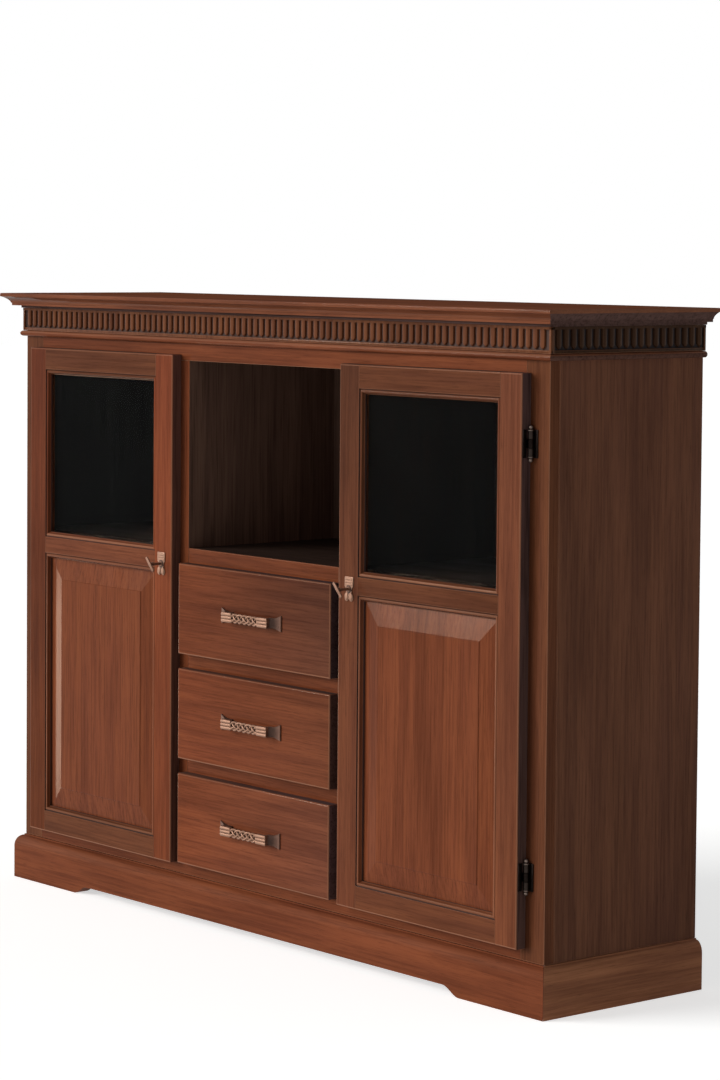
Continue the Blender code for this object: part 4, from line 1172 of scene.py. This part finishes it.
solid = put(BRAID, "GeometryNodeRealizeInstances", {"Geometry": tubes})[0]
coated = put(BRAID, "GeometryNodeSetMaterial", {"Geometry": solid, "Material": given["Finish"]})[0]
put(BRAID, "NodeGroupOutput", {"Shape": coated})

low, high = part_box("top_drawer_handle")
BAR_HALF = 0.060
BAR_H = 0.0165
BAR_T = 0.006
BRAID_HALF = 0.0345
FOOT_HIGHLIGHT_L = 0.012
bar_y = low.y + BAR_T / 2
face_y = high.y
STRAND_R = 0.0020
sizes = {"Strands": 4, "Length": 2 * BRAID_HALF, "Wave": 0.050, "Sway": 0.0010, "Wire": STRAND_R}
sizes["Rise"] = BAR_H / 2 - STRAND_R
sizes["Finish"] = COPPER
braid = grown(BRAID, bmesh.new(), sizes)
bmesh.ops.translate(braid, verts=braid.verts, vec=(0.0, bar_y, 0.0))
shapes = [rubbed_on_top(braid)]
core_y = (bar_y + 0.0004, bar_y + BAR_T / 2 - 0.0003)
core_z = (0.0024 - BAR_H / 2, BAR_H / 2 - 0.0024)
core = ease(block((-BRAID_HALF, BRAID_HALF), core_y, core_z), 0.0006)
shapes.append(darken(core))
for end in (-1, 1):
    # Reeded end: three half-round reeds on the front, a flat back
    rings = []
    for x, share in (
        (BRAID_HALF - 0.001, 0.82),
        (BRAID_HALF, 0.98),
        (BAR_HALF - 0.001, 1.0),
        (BAR_HALF, 0.86),
    ):
        ring = [(end * x, bar_y + BAR_T / 2 * share, BAR_H / 2 * share)]
        ring.append((end * x, bar_y + BAR_T / 2 * share, -BAR_H / 2 * share))
        for reed_z in (-BAR_H / 3, 0.0, BAR_H / 3):
            for k in range(7):
                a = math.pi * k / 6
                z = reed_z - BAR_H / 6 * math.cos(a)
                y = bar_y + (BAR_T / 2 - BAR_T * (0.76 + 0.24 * math.sin(a))) * share
                ring.append((end * x, y, z * share))
        rings.append(ring)
    shapes.append(rubbed_on_top(loft(rings)))
    # Foot: a neck that sweeps outwards past the bar's end and fans out to the drawer front, faintly ribbed
    rings = []
    for past_end, proud, half_h, rib in (
        (-0.0125, 0.0146, 0.0072, 0.0),
        (-0.0010, 0.0146, 0.0073, 0.0),
        (-0.0003, 0.0128, 0.0074, 0.0),
        (0.0001, 0.0108, 0.0074, 0.0),
        (0.0007, 0.0093, 0.0075, 0.0001),
        (0.0022, 0.0077, 0.0078, 0.0001),
        (0.0042, 0.0060, 0.0082, 0.00015),
        (0.0070, 0.0045, 0.0089, 0.0002),
        (0.0105, 0.0034, 0.0100, 0.00025),
        (0.0140, 0.0027, 0.0113, 0.00025),
        (0.0168, 0.0024, 0.0124, 0.00015),
        (0.0178, 0.0021, 0.0129, 0.0),
        (0.0180, 0.0015, 0.0130, 0.0),
    ):
        x = end * (BAR_HALF + past_end)
        ring = [(x, face_y, -half_h), (x, face_y, half_h)]
        for k in range(11):
            ring.append((x, face_y - proud + (rib if k % 2 else -rib), half_h * (1 - k / 5)))
        rings.append(ring)
    # Browned like the ground of the braid and painted paler towards the flared end: patina, with painted
    # shade near the bar and painted light on the fan
    foot = darken(loft(rings))
    rub_and_highlight = foot.faces.layers.float.new("rub_and_highlight")
    for face in foot.faces:
        face[rub_and_highlight] = max(0.0, (abs(face.calc_center_median().x) - BAR_HALF) / FOOT_HIGHLIGHT_L)
    shapes.append(foot)
one_handle = together(*shapes)
finish = [COPPER, BROWNED_AND_SHADE]
for level in ("bottom", "middle", "top"):
    name = level + "_drawer"
    low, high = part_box(name + "_handle")
    handle = one_handle.copy()
    bmesh.ops.translate(handle, verts=handle.verts, vec=(0.0, 0.0, (low.z + high.z) / 2))
    fit(name + "_handle_casting", handle, finish, name, [name + "_handle"], CREASE)

# Studio: a pale floor that keeps the shadow, a broad soft lamp and a small one from the front left and
# a white surround, which shows white to the eye, to metal and to glass and gives the wood a softer fill


def shown(tree, path):
    # 1 for what the eye sees straight on, mirrored in metal or through glass
    seen = path["Is Camera Ray"]
    for ray in ("Is Glossy Ray", "Is Transmission Ray"):
        seen = put(tree, "ShaderNodeMath", {0: seen, 1: path[ray]}, operation="ADD", use_clamp=True)[0]
    return seen


FLOOR = bpy.data.materials.new("pale_studio_floor")
FLOOR.use_nodes = True
tree = FLOOR.node_tree
tree.nodes.remove(tree.nodes["Principled BSDF"])
out = tree.nodes["Material Output"]
path = put(tree, "ShaderNodeLightPath", {})
seen = shown(tree, path)
glow = put(tree, "ShaderNodeMapRange", {"Value": seen, "To Min": 0.15, "To Max": 0.60})[0]
matt = put(tree, "ShaderNodeBsdfDiffuse", {"Color": linear("#E8E8E6")})[0]
light = put(tree, "ShaderNodeEmission", {"Color": linear("#FFFFFF"), "Strength": glow})[0]
both = put(tree, "ShaderNodeAddShader", {0: matt, 1: light})[0]
tree.links.new(both, out.inputs["Surface"])
ground = bmesh.new()
bmesh.ops.create_circle(ground, cap_ends=True, segments=64, radius=30.0)
mesh = bpy.data.meshes.new("studio_floor")
ground.to_mesh(mesh)
ground.free()
mesh.materials.append(FLOOR)
floor = bpy.data.objects.new("studio_floor", mesh)
bpy.context.scene.collection.objects.link(floor)

world = bpy.data.worlds.new("white_surround")
bpy.context.scene.world = world
world.use_nodes = True
tree = world.node_tree
path = put(tree, "ShaderNodeLightPath", {})
seen = shown(tree, path)
# After a bounce off something matt it gives only the fill
direct = put(tree, "ShaderNodeMath", {0: path["Diffuse Depth"], 1: 0.5}, operation="LESS_THAN")[0]
seen = put(tree, "ShaderNodeMath", {0: seen, 1: direct}, operation="MULTIPLY")[0]
FILL = 0.24
limits = {"Value": seen, "To Min": FILL, "To Max": 1.0}
strength = put(tree, "ShaderNodeMapRange", limits)[0]
tree.links.new(strength, tree.nodes["Background"].inputs["Strength"])
tree.nodes["Background"].inputs["Color"].default_value = (1.0, 1.0, 1.0, 1.0)

for name, strength, spread, travel in (
    ("soft_key", 2.4, 36, (0.532, 0.760, -0.375)),
    ("sheen", 0.50, 9, (0.713, 0.686, -0.128)),
):
    lamp = bpy.data.lights.new(name, "SUN")
    lamp.energy = strength
    lamp.angle = math.radians(spread)
    sun = bpy.data.objects.new(name, lamp)
    sun.rotation_euler = Vector(travel).to_track_quat("-Z", "Y").to_euler()
    bpy.context.scene.collection.objects.link(sun)

# A low strip on the left, which the lacquer mirrors in the upright bevels and which lights nothing else
strip_lamp = bpy.data.lights.new("low_strip", "AREA")
strip_lamp.shape = "ELLIPSE"
strip_lamp.size = 0.14
strip_lamp.size_y = 0.50
strip_lamp.energy = 1.5
strip_lamp.color = linear("#FFE2C8")[:3]
lamp = bpy.data.objects.new("low_strip", strip_lamp)
lamp.location = (-1.244, FRAME_Y - 0.238, 0.27)
lamp.rotation_euler = Vector((0.968, 0.249, 0.0)).to_track_quat("-Z", "Y").to_euler()
lamp.visible_diffuse = False
lamp.visible_camera = False
bpy.context.scene.collection.objects.link(lamp)

# Camera: found from straight edges of the object for a picture of 720 by 1080. The lens points at a row
# above the middle of the picture, so it is shifted
PICTURE_H = 1080
FOCAL_PX = 3241.9
CENTRE_DOWN_PX = 420
YAW = math.radians(50.03)
PITCH = math.radians(3.127)
ROLL = math.radians(0.459)
EYE = (4.13744, FRAME_Y - 3.26127, 1.14415)
ahead = Vector((-math.sin(YAW) * math.cos(PITCH), math.cos(YAW) * math.cos(PITCH), -math.sin(PITCH)))
level_right = Vector((math.cos(YAW), math.sin(YAW), 0.0))
level_up = level_right.cross(ahead)
right = math.cos(ROLL) * level_right + math.sin(ROLL) * level_up
up = math.cos(ROLL) * level_up - math.sin(ROLL) * level_right
lens = bpy.data.cameras.new("photo_view")
lens.sensor_width = 36.0
lens.lens = FOCAL_PX / PICTURE_H * lens.sensor_width
lens.shift_y = (CENTRE_DOWN_PX - PICTURE_H / 2) / PICTURE_H
camera = bpy.data.objects.new("photo_view", lens)
turn = Matrix((right, up, -ahead)).transposed().to_4x4()
camera.matrix_world = Matrix.Translation(EYE) @ turn
bpy.context.scene.collection.objects.link(camera)
bpy.context.scene.camera = camera
bpy.context.scene.view_settings.view_transform = "Standard"
